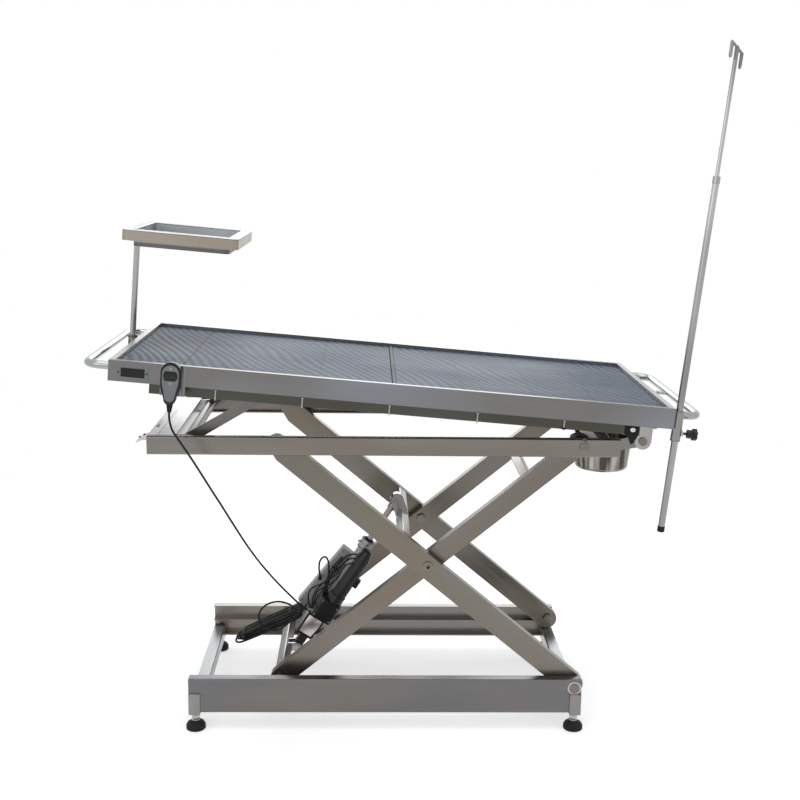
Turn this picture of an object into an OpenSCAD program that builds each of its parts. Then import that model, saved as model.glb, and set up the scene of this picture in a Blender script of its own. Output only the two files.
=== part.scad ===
// Tilting operating table for a veterinary clinic, on a scissor lift.
// Millimetres. Z up, the floor at z = 0, X along the table, the front side at -Y.

/* [Base] */
// Length of the base frame
base_l = 966; // [900:1:1100]
// Width of the base frame over its side rails
base_w = 508; // [480:1:560]
// Height of the rails' top above the floor
base_top = 135; // [125:1:160]
// Height of a base side rail
base_rail_h = 88; // [84:1:95]
// Width of the flanges of a base side rail
base_flange = 26; // [24:0.5:28]
// Sheet thickness of the base, arms' rollers' tracks and upper rails
rail_t = 3; // [2:0.5:4]
// Height of a base cross member
cross_h = 35; // [25:1:36]
// Width of a base cross member
cross_w = 30; // [24:1:36]
// Distance from a rail's end to the outer side of its cross member
cross_inset = 4; // [2:1:12]

/* [Feet] */
// Diameter of a levelling foot
foot_d = 48; // [40:1:52]
// Height of a foot's rubber pad
foot_h = 24; // [18:1:26]
// Diameter of a foot's stud
stud_d = 12; // [10:1:14]
// Distance from the rail's end to a foot's centre
foot_inset = 15; // [14:1:24]
// Width of a corner bracket
bracket_w = 28; // [26:1:34]
// Height of a corner bracket's plate above the rail's lower edge
bracket_h = 50; // [35:1:60]
// Thickness of a corner bracket
bracket_t = 4; // [3:0.5:5]

/* [Scissor lift] */
// Angle of the arms above level
lift_angle = 39.7; // [30:0.1:41]
// Distance from the middle pivot to an arm's end pivot
arm_half = 475; // [460:1:490]
// Depth of an outer arm
arm_d = 55; // [50:1:58]
// Depth of an inner arm
inner_arm_d = 48; // [46:1:56]
// Distance of the arms' middle line below their pivots
arm_drop = 2.5; // [0:0.5:4]
// Thickness of an arm, across the table
arm_w = 25; // [20:1:26]
// Wall of an arm's tube
arm_wall = 2; // [1.5:0.5:3]
// Depth of an arm at the end that carries a roller
arm_tip_d = 43; // [40:1:46]
// Length over which an arm's roller end grows to its full depth
arm_taper = 24; // [20:1:40]
// Distance from the base's side to an outer arm's outer face
arm_side = 29; // [28:0.5:34]
// Gap between an outer and an inner arm
arm_gap = 5; // [3:0.5:8]
// Distance from a base rail's right end to the fixed pivot
pivot_inset = 17.5; // [17:0.5:30]
// Diameter of a pivot bolt
pivot_d = 16; // [12:1:18]
// Diameter of a pivot bolt's head
head_d = 26; // [22:1:30]
// Diameter of a roller
roller_d = 37.4; // [30:0.2:38]
// Width of a roller
roller_w = 12; // [8:0.5:12]
// Play of a roller in its track
track_play = 0.6; // [0.4:0.1:1]
// Diameter of a roller's axle
axle_d = 12; // [10:1:16]
// Side of the square cross tubes between the arms
tube_s = 25; // [20:1:28]
// Distance from the middle pivot to the inner arms' upper cross tube
inner_tube_at = 318; // [280:1:340]
// Distance from the inner arms' end pivot to their lower cross tube
inner_tube_low = 5; // [3:1:8]
// Place of the outer arms' cross tube along the arm, from the middle pivot
outer_tube_at = 86; // [82:1:92]
// Place of the outer arms' cross tube above the arm's middle line
outer_tube_up = 12; // [8:0.5:12]

/* [Upper frame] */
// Left end of the upper frame, from the middle of the base
upper_left = 568; // [550:1:590]
// Right end of the upper frame, from the middle of the base
upper_right = 549; // [540:1:560]
// Distance from the base's side to the upper frame's side
upper_side = 9; // [6:0.5:10]
// Width of the flanges of an upper side rail
upper_flange = 17; // [14:0.5:17]
// Width of the left cross plate
plate_w = 65; // [55:1:75]
// Sheet thickness of the left cross plate
plate_t = 2; // [1.5:0.5:3]
// Left side of the right cross tube, from the middle of the base
right_cross_x = 500; // [497:1:505]
// Width of the right cross tube
right_cross_w = 30; // [24:1:32]
// Distance of the table's hinge from the middle of the base
hinge_x = 606; // [600:1:612]
// Height of the table's hinge above the scissor's upper pivots
hinge_up = 15; // [12:1:18]
// Diameter of a hinge pin
hinge_pin_d = 12; // [10:1:14]
// Thickness of a hinge ear
ear_t = 5; // [4:0.5:6]
// Distance from the upper frame's side to a hinge ear's inner face
ear_side = 26; // [23:0.5:28]
// Gap between a hinge ear and its lug
lug_gap = 1; // [0.5:0.5:2]

/* [Tabletop] */
// Length of the tabletop
top_l = 1300; // [1200:1:1400]
// Width of the tabletop
top_w = 620; // [600:1:660]
// Height of the tabletop's side rails
top_rail_h = 48; // [46:1:50]
// Sheet thickness of the tabletop's rails
top_t = 2; // [1.5:0.5:2.5]
// Width of the rim around the mat
rim_w = 14; // [10:1:20]
// Depth of the pan below the rim
pan_depth = 14; // [12:1:18]
// Sheet thickness of the pan
pan_t = 1.5; // [1:0.5:2]
// Tilt of the tabletop
tilt = 4.6; // [0:0.1:6]
// Height of the rim above the hinge
top_up = 100; // [98:1:104]
// Distance from the hinge to the tabletop's right end
top_over = 47; // [44:1:60]
// Distance from the tabletop's side to a subframe channel's outer face
sub_side = 40; // [30:1:48]
// Width of a subframe channel
sub_w = 30; // [24:1:34]
// Height of the subframe's lower edge above the hinge
sub_low = 21; // [20:0.5:24]
// Distance from the tabletop's left end to the subframe's left end
sub_inset = 89; // [80:1:120]
// Thickness of the hinge lugs under the tabletop
lug_t = 8; // [6:1:9]
// Radius of a hinge lug
lug_r = 20; // [16:1:20]
// Diameter of the drain spout
spout_d = 36; // [30:1:40]
// Distance from the hinge to the drain spout
spout_at = 42; // [42:1:50]
// Reach of the drain spout below the hinge
spout_low = 34; // [20:1:36]

/* [Mat] */
// Thickness of the mat
mat_t = 6; // [4:0.5:8]
// Width of the metal divider between the mat's halves
divider_w = 8; // [6:1:12]
// Height of the divider above the mat
divider_up = 2; // [1:0.5:3]

/* [Tilt prop] */
// Distance of the prop's hinge from the middle of the base
prop_x = 478; // [476:1:482]
// Height of the prop's hinge above the scissor's upper pivots
prop_up = 6; // [2:1:8]
// Length of the prop, from its hinge to its top bar
prop_l = 278; // [270:1:285]
// Depth of a prop leg
prop_leg = 27; // [20:1:28]
// Thickness of a prop leg
prop_leg_t = 6; // [4:0.5:7]
// Distance from the upper frame's side to a prop leg's outer face
prop_side = 49; // [48:1:55]
// Distance from the middle of the table to a wear strip
strip_in = 110; // [80:1:140]
// Diameter of the prop's top bar
prop_bar_d = 16; // [12:1:20]
// Diameter of the prop's hinge shaft
prop_shaft_d = 12; // [10:1:16]
// Play of the prop's bar under its track
prop_play = 0.4; // [0.3:0.1:1]
// Width of a wear strip under the pan
strip_w = 20; // [16:1:30]
// Thickness of a wear strip under the pan
strip_t = 14; // [12:1:16]

/* [Actuator] */
// Place of the lower pivot along the inner arm, from the arm's end pivot
act_low_at = 28.9; // [26:0.1:36]
// Place of the lower pivot below the inner arm's middle line
act_low_down = 17.5; // [14:0.1:20]
// Place of the upper pivot along the outer arm, from the middle pivot
act_top_at = 122.2; // [115:0.1:130]
// Place of the upper pivot above the outer arm's middle line
act_top_up = 34.5; // [30:0.1:38]
// Diameter of the actuator's pins
act_pin_d = 10; // [8:1:12]
// Play around the upper pin, where the linkage is open
act_play = 4; // [3.5:0.1:5]
// Diameter of the rod
rod_d = 16; // [14:1:18]
// Diameter of the outer tube
act_tube_d = 29; // [27:1:31]
// Diameter of the motor
motor_d = 38; // [36:1:40]
// Length of the motor
motor_l = 162; // [150:1:170]
// Distance of the motor's axis in front of the rod's axis
motor_off = 35; // [35:0.5:42]
// Distance of the motor's axis to the right of the rod's axis
motor_side = 9; // [0:1:14]
// Width of the gear housing around the rod's axis
gear_w = 48; // [46:1:52]
// Length of the outer tube, with its collar
act_tube_l = 181; // [170:1:190]
// Length of the collar at the outer tube's end
collar_l = 28; // [24:1:34]
// Stroke of the rod
rod_stroke = 76; // [74:1:90]
// Height of the gear housing's lower side above the lower pin
gear_low = 39; // [36:1:44]
// Height of the motor's flange on the gear housing, above the lower pin
gear_step = 110; // [104:1:120]
// Height of the gear housing's upper side above the lower pin
gear_high = 166; // [160:1:172]
// Gap between the bracket plates at a pin
fork_gap = 24; // [22:1:28]
// Thickness of a bracket plate
fork_t = 5; // [4:0.5:6]

/* [Control box] */
// Length of the control box
box_l = 190; // [160:1:200]
// Width of the control box
box_w = 44; // [36:1:48]
// Thickness of the control box, across the table
box_t = 34; // [28:1:40]

/* [Drip stand] */
// Diameter of the stand's outer tube
stand_d = 16; // [14:0.5:18]
// Length of the stand's outer tube
stand_l = 828; // [700:1:900]
// Reach of the outer tube below the table's hinge
stand_low = 198; // [150:1:210]
// Diameter of the inner rod
rod_stand_d = 10; // [8:0.5:12]
// Length of the inner rod that shows above the outer tube
rod_show = 278; // [200:1:400]
// Length of the inner rod inside the outer tube
rod_hidden = 420; // [380:1:500]
// Distance from the tabletop's right end to the stand's axis
stand_out = 11.5; // [11:0.5:24]
// Lean of the stand to the right, from the tabletop's upright
stand_lean = 0.8; // [0:0.1:2]
// Distance from the tabletop's front side to the stand's axis
stand_in = 15; // [13:1:30]
// Wire diameter of the hooks
hook_d = 6; // [5:0.5:7]
// Length of the hooks' bar
hook_span = 38; // [34:1:60]
// Radius of a hook
hook_r = 7; // [6:0.5:10]
// Drop of a hook below its bar
hook_drop = 31; // [26:1:44]

/* [Instrument tray] */
// Diameter of the tray's post
post_d = 15; // [13:0.5:17]
// Distance from the tabletop's left end to the post's axis
post_out = 18; // [16:1:24]
// Distance of the post from the middle of the table, to the rear
post_y = 60; // [40:1:80]
// Height of the tray frame's lower edge above the table's hinge
tray_up = 350; // [300:1:380]
// Size of the tray along the table
tray_x = 282; // [220:1:290]
// Size of the tray across the table
tray_y = 344; // [300:1:360]
// Distance of the tray's front side from the post, to the front
tray_fore = 130; // [110:1:150]
// Distance of the tray's left side from the post's axis
tray_left = 15; // [10:1:20]
// Height of the tray's frame
tray_h = 24; // [20:1:30]
// Depth of the dish
dish_h = 40; // [36:1:48]

/* [Bucket] */
// Diameter of the bucket at its top
bucket_d = 150; // [140:1:152]
// Diameter of the bucket at its floor
bucket_low_d = 134; // [120:1:140]
// Height of the bucket
bucket_h = 76; // [70:1:110]
// Width of the bucket's rim
bucket_rim = 7; // [5:0.5:8]
// Distance of the bucket from the middle of the base
bucket_x = 556; // [552:1:560]

/* [Handles] */
// Diameter of a push handle's tube
handle_d = 19; // [16:1:22]
// Reach of the left handle beyond the tabletop's end
handle_out = 64; // [50:1:80]
// Reach of the right handle beyond the tabletop's end
handle_right_out = 72; // [60:1:84]
// Distance from the tabletop's side to a leg of a handle
handle_side = 55; // [50:1:80]
// Bend radius of a handle
handle_r = 34; // [26:1:45]
// Depth of a handle's middle line below the rim
handle_down = 24; // [20:1:30]

/* [Handset] */
// Width of the handset
hand_w = 45; // [44:1:56]
// Length of the handset's housing
hand_l = 98; // [90:1:110]
// Thickness of the handset
hand_t = 22; // [18:1:24]
// Distance from the tabletop's left end to the handset's middle
hand_at = 145; // [130:1:170]
// Height of the handset's middle above the table's hinge
hand_up = 61; // [56:1:64]
// Length of the handset's strain relief
boot_l = 24; // [20:1:30]

/* [Display] */
// Width of the display's window
display_w = 60; // [50:1:66]
// Height of the display's window
display_h = 25; // [20:1:28]
// Distance from the tabletop's left end to the display's middle
display_at = 56; // [50:1:62]

/* [Cords] */
// Diameter of the handset's cord
cord_d = 5; // [4.5:0.1:5.5]
// Diameter of the actuator's lead
lead_d = 5; // [4:0.1:6]

/* [Hidden] */
$fn = 48;

// Radial play of a pin in its hole
pin_play = 0.05;
// Gap left between pieces that only just clear each other
slip = 0.3;
// Height of a roller's track
track_h = roller_d + track_play;
// Fixed pivot of the outer arms
pivot_x = base_l / 2 - pivot_inset;
pivot_z = base_top - rail_t - track_h / 2;
// Half run and half rise of the arms
arm_run = arm_half * cos(lift_angle);
arm_rise = arm_half * sin(lift_angle);
// Middle pivot and the height of the upper pivots
centre_x = pivot_x - arm_run;
centre_z = pivot_z + arm_rise;
upper_z = pivot_z + 2 * arm_rise;
upper_h = track_h + 2 * rail_t;
// Widths that follow the base's and the tabletop's
upper_w = base_w - 2 * upper_side;
outer_face = base_w / 2 - arm_side;
ear_in = upper_w / 2 - ear_side;
prop_out = upper_w / 2 - prop_side;
sub_out = top_w / 2 - sub_side;
hinge_z = upper_z + hinge_up;
inner_face = outer_face - arm_w - arm_gap;
base_in = base_w / 2 - rail_t;
upper_in = upper_w / 2 - rail_t;
// Middle line of the rollers, across the table
roller_y = upper_in - slip - roller_w / 2;
// The tabletop's own measures, from the hinge
top_left = top_over - top_l;
pan_z = top_up - pan_depth;
rail_low = top_up - top_rail_h;
sub_high = pan_z - pan_t;
foot_x = base_l / 2 - foot_inset;
foot_y = base_w / 2 - rail_t - foot_inset + 4;
base_low = base_top - base_rail_h;
mid_l = top_over - top_l / 2;
handle_z = top_up - handle_down;
handle_span = top_w - 2 * handle_side;
stand_x = top_over + stand_out;
stand_y = -top_w / 2 + stand_in;
post_x = top_left - post_out;
hand_x = top_left + hand_at;
hand_gap = 5;
// Turn of the hooks' bar and of the hooks, and the height of the stand's screw
hook_turn = 39;
hook_twist = 65;
hook_slope = 9;
knob_z = 41;
hand_front = top_w / 2 + hand_gap + hand_t;
// The origin is on the floor, midway between the ends and between the sides of the whole table
left_end = (top_left - handle_out - handle_d / 2) * cos(tilt) + handle_z * sin(tilt);
rod_top = stand_l - stand_low + rod_show;
hook_reach = hook_span / 2 * cos(hook_turn) + 2 * hook_r * cos(hook_twist) + hook_d / 2;
right_end = stand_x * cos(tilt) + hook_reach + rod_top * sin(tilt + stand_lean);
mid_x = hinge_x + (left_end + right_end) / 2;
mid_y = (top_w / 2 - hand_front) / 2;

// Pivots of the actuator, and its length and lean
act_low = [
    centre_x - (arm_half - act_low_at) * cos(lift_angle) + act_low_down * sin(lift_angle),
    centre_z - (arm_half - act_low_at) * sin(lift_angle) - act_low_down * cos(lift_angle)
];
act_top = [
    centre_x - act_top_at * cos(lift_angle) + act_top_up * sin(lift_angle),
    centre_z + act_top_at * sin(lift_angle) + act_top_up * cos(lift_angle)
];
act_run = act_top[0] - act_low[0];
act_rise = act_top[1] - act_low[1];
act_length = sqrt(act_run * act_run + act_rise * act_rise);
act_lean = atan2(act_run, act_rise);

// The prop leans until its bar lies under its track
prop_bar_z = sub_high - strip_t - prop_play - prop_bar_d / 2;
prop_dx = -prop_x - hinge_x;
prop_dz = prop_up - hinge_up;
prop_angle = asin((prop_bar_z - prop_dx * sin(tilt) - prop_dz * cos(tilt)) / prop_l) - tilt;

// Places of the bodies
module on_base() translate([-mid_x, -mid_y, 0]) children();
module on_outer_arms() on_base() translate([centre_x, 0, centre_z]) rotate([0, lift_angle, 0]) children();
module on_inner_arms() on_base() translate([centre_x, 0, centre_z]) rotate([0, -lift_angle, 0]) children();
module on_upper() on_base() translate([0, 0, upper_z]) children();
module on_top() on_base() translate([hinge_x, 0, hinge_z]) rotate([0, tilt, 0]) children();
module on_stand() on_top() translate([stand_x, stand_y, knob_z]) rotate([0, stand_lean, 0])
    translate([0, 0, -knob_z]) children();
module on_actuator() on_base() translate([act_low[0], 0, act_low[1]]) rotate([0, act_lean, 0]) children();
module on_prop() on_upper() translate([-prop_x, 0, prop_up]) rotate([0, -prop_angle, 0]) children();
module on_handset() on_top() translate([hand_x, -top_w / 2 - hand_gap, hand_up]) children();

// Shared shapes
module along_x(l) rotate([90, 0, 90]) linear_extrude(l) children();
module along_y(l) rotate([90, 0, 0]) linear_extrude(l, center = true) children();
module rod_y(d, l) rotate([90, 0, 0]) cylinder(d = d, h = l, center = true);
module mirrored_y() {
    children();
    mirror([0, 1, 0]) children();
}
module block(low, high) translate(low) cube(high - low);
module rounded(size, r) {
    translate([r, 0]) square([size[0] - 2 * r, size[1]]);
    translate([0, r]) square([size[0], size[1] - 2 * r]);
    for (x = [r, size[0] - r], y = [r, size[1] - r]) translate([x, y]) circle(r);
}
// A folded channel seen from its end: web on the left, flanges to the right
module channel(h, flange, t, r) {
    difference() {
        union() {
            rounded([2 * flange, h], r);
        }
        translate([t, t]) rounded([2 * flange, h - 2 * t], max(r - t, 0.5));
        translate([flange, -1]) square([flange + 1, h + 2]);
    }
}
module square_tube(s, l, wall, r) {
    along_y(l) difference() {
        translate([-s / 2, -s / 2]) rounded([s, s], r);
        translate([wall - s / 2, wall - s / 2]) rounded([s - 2 * wall, s - 2 * wall], r - wall / 2);
    }
}

// Base frame
module base_rail_shape() {
    channel(base_rail_h, base_flange, rail_t, 4);
    translate([rail_t, base_rail_h - track_h - 2 * rail_t]) square([base_flange - rail_t, rail_t]);
}
module base_rail() {
    difference() {
        translate([-base_l / 2, -base_w / 2, base_low]) along_x(base_l) base_rail_shape();
        for (x = [-foot_x, foot_x])
            translate([x, -foot_y, base_low - 1]) cylinder(d = stud_d + 2, h = rail_t + 2);
        translate([pivot_x, -base_w / 2, pivot_z]) rod_y(pivot_d + 2 * pin_play, 4 * rail_t);
    }
}
module base_rail_front() on_base() color([0.62, 0.6, 0.58]) base_rail();
module base_rail_rear() on_base() color([0.62, 0.6, 0.58]) mirror([0, 1, 0]) base_rail();

module cross_member_shape() translate([cross_w, 0]) mirror([1, 0]) channel(cross_h, cross_w, rail_t, 4);
module base_cross_members() on_base() color([0.66, 0.65, 0.63]) {
    span = base_w - 2 * base_flange - 0.4;
    for (side = [1, -1]) mirror([side > 0 ? 0 : 1, 0, 0])
        translate([-base_l / 2 + cross_inset, 0, base_low]) along_y(span) cross_member_shape();
}

module corner_bracket() {
    plate_x = -base_l / 2;
    difference() {
        union() {
            block([plate_x, -base_w / 2 - bracket_t, base_low - bracket_t],
                  [plate_x + bracket_w, -base_w / 2, base_low + bracket_h]);
            block([plate_x, -base_w / 2, base_low - bracket_t],
                  [plate_x + bracket_w, -foot_y + bracket_w / 2, base_low]);
            translate([-foot_x, -foot_y, base_low - bracket_t - 5]) cylinder(d = stud_d + 8, h = 5);
        }
        translate([-foot_x, -foot_y, base_low - bracket_t - 6])
            cylinder(d = stud_d + 2 * pin_play, h = bracket_t + 7);
    }
}
module corner_brackets() on_base() color([0.6, 0.59, 0.57])
    for (sx = [0, 1], sy = [0, 1]) mirror([sx, 0, 0]) mirror([0, sy, 0]) corner_bracket();

module pivot_bolt(from_y, to_y, nut) {
    // Front bolt: its head stands on the face at from_y, its shank ends behind to_y
    translate([0, from_y, 0]) rotate([90, 0, 0]) {
        intersection() {
            cylinder(d = head_d, h = 6);
            translate([0, 0, 6 - 1.2 * head_d]) sphere(r = 1.2 * head_d, $fn = 96);
        }
        translate([0, 0, from_y - to_y]) cylinder(d = pivot_d, h = to_y - from_y);
    }
    if (nut) translate([0, to_y - 8, 0]) rotate([-90, 0, 0]) cylinder(d = head_d, h = 7, $fn = 6);
}
module spacer(d, from_y, to_y) translate([0, from_y, 0]) rotate([-90, 0, 0]) difference() {
    cylinder(d = d, h = to_y - from_y);
    translate([0, 0, -1]) cylinder(d = pivot_d + 4 * pin_play, h = to_y - from_y + 2);
}
module base_pivot_bolts() on_base() color([0.75, 0.74, 0.72]) mirrored_y() translate([pivot_x, 0, pivot_z]) {
    pivot_bolt(-base_w / 2, arm_w - outer_face + 9, true);
    spacer(24, -base_in, -outer_face - slip);
}

module foot() {
    nut_z = base_low - bracket_t - 5 - 8 - slip;
    rotate_extrude() {
        square([foot_d / 2 - 1, foot_h * 0.45]);
        translate([0, 1]) square([foot_d / 2, foot_h * 0.3]);
        polygon([[0, foot_h * 0.4], [foot_d / 2 - 1, foot_h * 0.4], [foot_d / 2 - 4, foot_h * 0.72],
                 [stud_d / 2 + 5, foot_h], [0, foot_h]]);
    }
    translate([0, 0, foot_h - 1]) cylinder(d = stud_d, h = base_low + 26 - foot_h);
    translate([0, 0, nut_z]) cylinder(d = 22, h = 8, $fn = 6);
}
module foot_at(sx, sy) on_base() color([0.16, 0.16, 0.17]) translate([sx * foot_x, sy * foot_y, 0]) foot();
module foot_front_left() foot_at(-1, -1);
module foot_front_right() foot_at(1, -1);
module foot_rear_left() foot_at(-1, 1);
module foot_rear_right() foot_at(1, 1);

// Scissor arms: tubes with round ends and a sleeve at each pivot
// An arm from its side: the roller end at -X is slimmer, so it stays inside its track
module arm_shape(depth, inset) {
    r = depth / 2 - inset;
    tip = arm_tip_d / 2 - inset;
    full = arm_taper - arm_half;
    translate([full, -r - arm_drop]) square([arm_half - full, 2 * r]);
    polygon([[-arm_half, -tip], [full, -r - arm_drop], [full, r - arm_drop], [-arm_half, tip]]);
    translate([-arm_half, 0]) circle(tip);
    translate([arm_half, -arm_drop]) circle(r);
}
module arm(depth, face_y, bores) translate([0, arm_w / 2 - face_y, 0]) {
    difference() {
        along_y(arm_w) arm_shape(depth, 0);
        difference() {
            along_y(arm_w - 2 * arm_wall) arm_shape(depth, arm_wall);
            for (x = [-arm_half, 0, arm_half]) translate([x, 0, 0]) rod_y(head_d + 4, arm_w);
        }
        for (x = bores) translate([x, 0, 0]) rod_y(pivot_d + 2 * pin_play, arm_w + 2);
    }
}
module axle_stub(face_y) {
    reach = upper_in - 2 * slip;
    translate([0, -face_y, 0]) rotate([90, 0, 0]) {
        cylinder(d = axle_d, h = reach - face_y);
        cylinder(d = axle_d + 8, h = roller_y - roller_w / 2 - slip - face_y);
    }
}
module outer_arm() {
    arm(arm_d, outer_face, [0, arm_half]);
    translate([-arm_half, 0, 0]) axle_stub(outer_face);
}
module outer_arm_front() on_outer_arms() color([0.6, 0.58, 0.56]) outer_arm();
module outer_arm_rear() on_outer_arms() color([0.6, 0.58, 0.56]) mirror([0, 1, 0]) outer_arm();

module fork_plate(from, to, r_from, r_to) {
    // One plate of a bracket, between a tube's middle and a pin
    dx = to[0] - from[0];
    dz = to[1] - from[1];
    reach = sqrt(dx * dx + dz * dz);
    lean = atan2(dz, dx);
    translate([from[0], from[1]]) rotate(lean) difference() {
        union() {
            polygon([[0, -r_from], [reach, -r_to], [reach, r_to], [0, r_from]]);
            translate([reach, 0]) circle(r_to);
        }
        translate([reach, 0]) circle(d = act_pin_d + 2 * pin_play);
    }
}
module fork(from, to, r_from, r_to, s) {
    mirrored_y() translate([0, fork_gap / 2 + fork_t / 2, 0]) difference() {
        along_y(fork_t) fork_plate(from, to, r_from, r_to);
        translate([from[0], 0, from[1]]) cube([s, fork_t + 2, s], center = true);
    }
}
module pin_through(d) {
    rod_y(d, fork_gap + 2 * fork_t + 4);
    mirrored_y() translate([0, fork_gap / 2 + fork_t + slip + 2, 0]) rod_y(d + 6, 4);
}
module outer_cross_tube() on_outer_arms() color([0.64, 0.63, 0.62]) {
    from = [-outer_tube_at, outer_tube_up];
    to = [-act_top_at, act_top_up];
    translate([from[0], 0, from[1]]) square_tube(tube_s, 2 * (outer_face - arm_w) - 0.2, 2, 3);
    fork(from, to, 16, 15, tube_s);
    translate([to[0], 0, to[1]]) pin_through(act_pin_d);
}
module centre_pivot_bolts() on_outer_arms() color([0.78, 0.77, 0.75]) mirrored_y() {
    pivot_bolt(-outer_face, arm_w - inner_face + 9, true);
    spacer(32, arm_w - outer_face + slip / 2, -inner_face - slip / 2);
}

module roller() difference() {
    union() {
        rod_y(roller_d, roller_w - 2);
        rod_y(roller_d - 2, roller_w);
    }
    rod_y(axle_d + 2 * pin_play, roller_w + 2);
}
module upper_rollers() on_outer_arms() color([0.85, 0.85, 0.83])
    mirrored_y() translate([-arm_half, -roller_y, 0]) roller();
module lower_rollers() on_inner_arms() color([0.85, 0.85, 0.83])
    mirrored_y() translate([-arm_half, -roller_y, 0]) roller();

module inner_arm() {
    arm(inner_arm_d, inner_face, [0, arm_half]);
    translate([-arm_half, 0, 0]) axle_stub(inner_face);
}
module inner_arm_front() on_inner_arms() color([0.6, 0.58, 0.55]) inner_arm();
module inner_arm_rear() on_inner_arms() color([0.6, 0.58, 0.55]) mirror([0, 1, 0]) inner_arm();
inner_span = 2 * (inner_face - arm_w) - 0.2;
module inner_cross_upper() on_inner_arms() color([0.66, 0.65, 0.64])
    translate([inner_tube_at, 0, 0]) square_tube(tube_s, inner_span, 2, 3);
module inner_cross_lower() on_inner_arms() color([0.7, 0.69, 0.68]) {
    from = [inner_tube_low - arm_half, 0];
    to = [act_low_at - arm_half, -act_low_down];
    translate([from[0], 0, 0]) square_tube(tube_s, inner_span, 2, 3);
    fork(from, to, 12, 11, tube_s);
    translate([to[0], 0, to[1]]) pin_through(act_pin_d);
}

// Upper frame
module upper_rail() {
    difference() {
        translate([-upper_left, -upper_w / 2, -upper_h / 2]) along_x(upper_left + upper_right)
            channel(upper_h, upper_flange, rail_t, 4);
        translate([pivot_x, -upper_w / 2, 0]) rod_y(pivot_d + 2 * pin_play, 4 * rail_t);
    }
    // End plate of the rail
    translate([upper_right, -upper_w / 2, -upper_h / 2]) along_x(2) rounded([upper_flange, upper_h], 3);
}
module upper_rail_front() on_upper() color([0.6, 0.58, 0.57]) upper_rail();
module upper_rail_rear() on_upper() color([0.6, 0.58, 0.57]) mirror([0, 1, 0]) upper_rail();

module prop_bearing() difference() {
    union() {
        along_y(6) polygon([[-upper_left + plate_w, -12], [-prop_x, prop_up - 13], [-prop_x, prop_up + 13],
                            [-upper_left + plate_w, 18]]);
        translate([-prop_x, 0, prop_up]) rod_y(26, 6);
    }
    translate([-prop_x, 0, prop_up]) rod_y(prop_shaft_d + 2 * pin_play, 8);
}
module upper_cross_left() on_upper() color([0.8, 0.8, 0.79]) {
    span = upper_w - 2 * upper_flange - 0.4;
    step_at = 23;
    top = upper_h / 2;
    translate([-upper_left, 0, 0]) along_y(span) {
        translate([0, top - 40]) square([plate_t, 40]);
        translate([0, top - plate_t]) square([step_at, plate_t]);
        translate([step_at - plate_t, top - plate_t - 1.5]) square([plate_w - step_at + plate_t, plate_t]);
        translate([plate_w - plate_t, top - 34]) square([plate_t, 34 - plate_t / 2]);
    }
    mirrored_y() translate([0, prop_out + 9, 0]) prop_bearing();
    // Small latch bracket at the front corner
    translate([-upper_left, 20 - span / 2, top]) along_y(22)
        polygon([[0.5, -plate_t], [0.5, -14], [-18, -16], [-30, -22], [-30, -19], [-16, -6],
                 [-4, -plate_t]]);
}
module ear_shape() {
    low = -upper_h / 2 + 6;
    high = upper_h / 2 - 6;
    from = right_cross_x + right_cross_w / 2;
    polygon([[from, low], [hinge_x - 6, hinge_up - 16], [hinge_x, hinge_up - 16], [hinge_x, hinge_up + 16],
             [hinge_x - 12, hinge_up + 11], [upper_right - 10, high], [from, high]]);
    translate([hinge_x, hinge_up]) circle(16);
}
module upper_cross_right() on_upper() color([0.55, 0.54, 0.52]) {
    span = 2 * (ear_in + ear_t);
    along_y(span) difference() {
        translate([right_cross_x, -upper_h / 2]) rounded([right_cross_w, upper_h], 4);
        translate([right_cross_x + 3, 3 - upper_h / 2]) rounded([right_cross_w - 6, upper_h - 6], 2);
    }
    mirrored_y() translate([0, ear_in + ear_t / 2, 0]) difference() {
        along_y(ear_t) ear_shape();
        translate([right_cross_x - 1, -ear_t, -upper_h]) cube([right_cross_w + 1, 2 * ear_t, 2 * upper_h]);
        translate([hinge_x, 0, hinge_up]) rod_y(hinge_pin_d + 2 * pin_play, ear_t + 2);
    }
}
module frame_pins() on_upper() color([0.78, 0.77, 0.75]) mirrored_y() {
    translate([pivot_x, 0, 0]) {
        pivot_bolt(-upper_w / 2, arm_w - inner_face + 9, true);
        spacer(24, -upper_in, -inner_face - slip);
    }
    translate([hinge_x, 0, hinge_up]) {
        head = 4;
        lug_out = ear_in + ear_t + lug_gap + lug_t;
        translate([0, -(lug_out + ear_in) / 2, 0]) rod_y(hinge_pin_d, lug_out - ear_in + 2 * head);
        for (y = [lug_out + head / 2 + slip, ear_in - head / 2 - slip])
            translate([0, -y, 0]) rod_y(hinge_pin_d + 8, head);
    }
}

// Bucket on its runners
ledge_z = -upper_h / 2 - 12;
module bucket_runners() on_upper() color([0.62, 0.61, 0.6]) mirrored_y() {
    runner_y = bucket_d / 2 + bucket_rim + 3;
    ledge_in = bucket_d / 2 + 2;
    low = ledge_z - 2;
    from = right_cross_x;
    to = bucket_x + bucket_d / 2 + 8;
    block([from, -runner_y - 2, low], [to, -runner_y, -upper_h / 2]);
    block([from, -runner_y, low], [to, -ledge_in, ledge_z]);
}
module bucket() on_upper() color([0.78, 0.77, 0.76]) {
    top = ledge_z + slip + 2;
    translate([bucket_x, 0, top - bucket_h]) rotate_extrude($fn = 96) {
        r = bucket_d / 2;
        low_r = bucket_low_d / 2;
        polygon([[0, 0], [low_r - 6, 0], [low_r - 2, 2], [low_r, 6], [r, bucket_h - 2],
                 [r + bucket_rim, bucket_h - 2],
                 [r + bucket_rim, bucket_h], [r - 1.5, bucket_h], [low_r - 1.5, 7], [low_r - 4, 2.5],
                 [low_r - 7, 1.5], [0, 1.5]]);
    }
}

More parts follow.
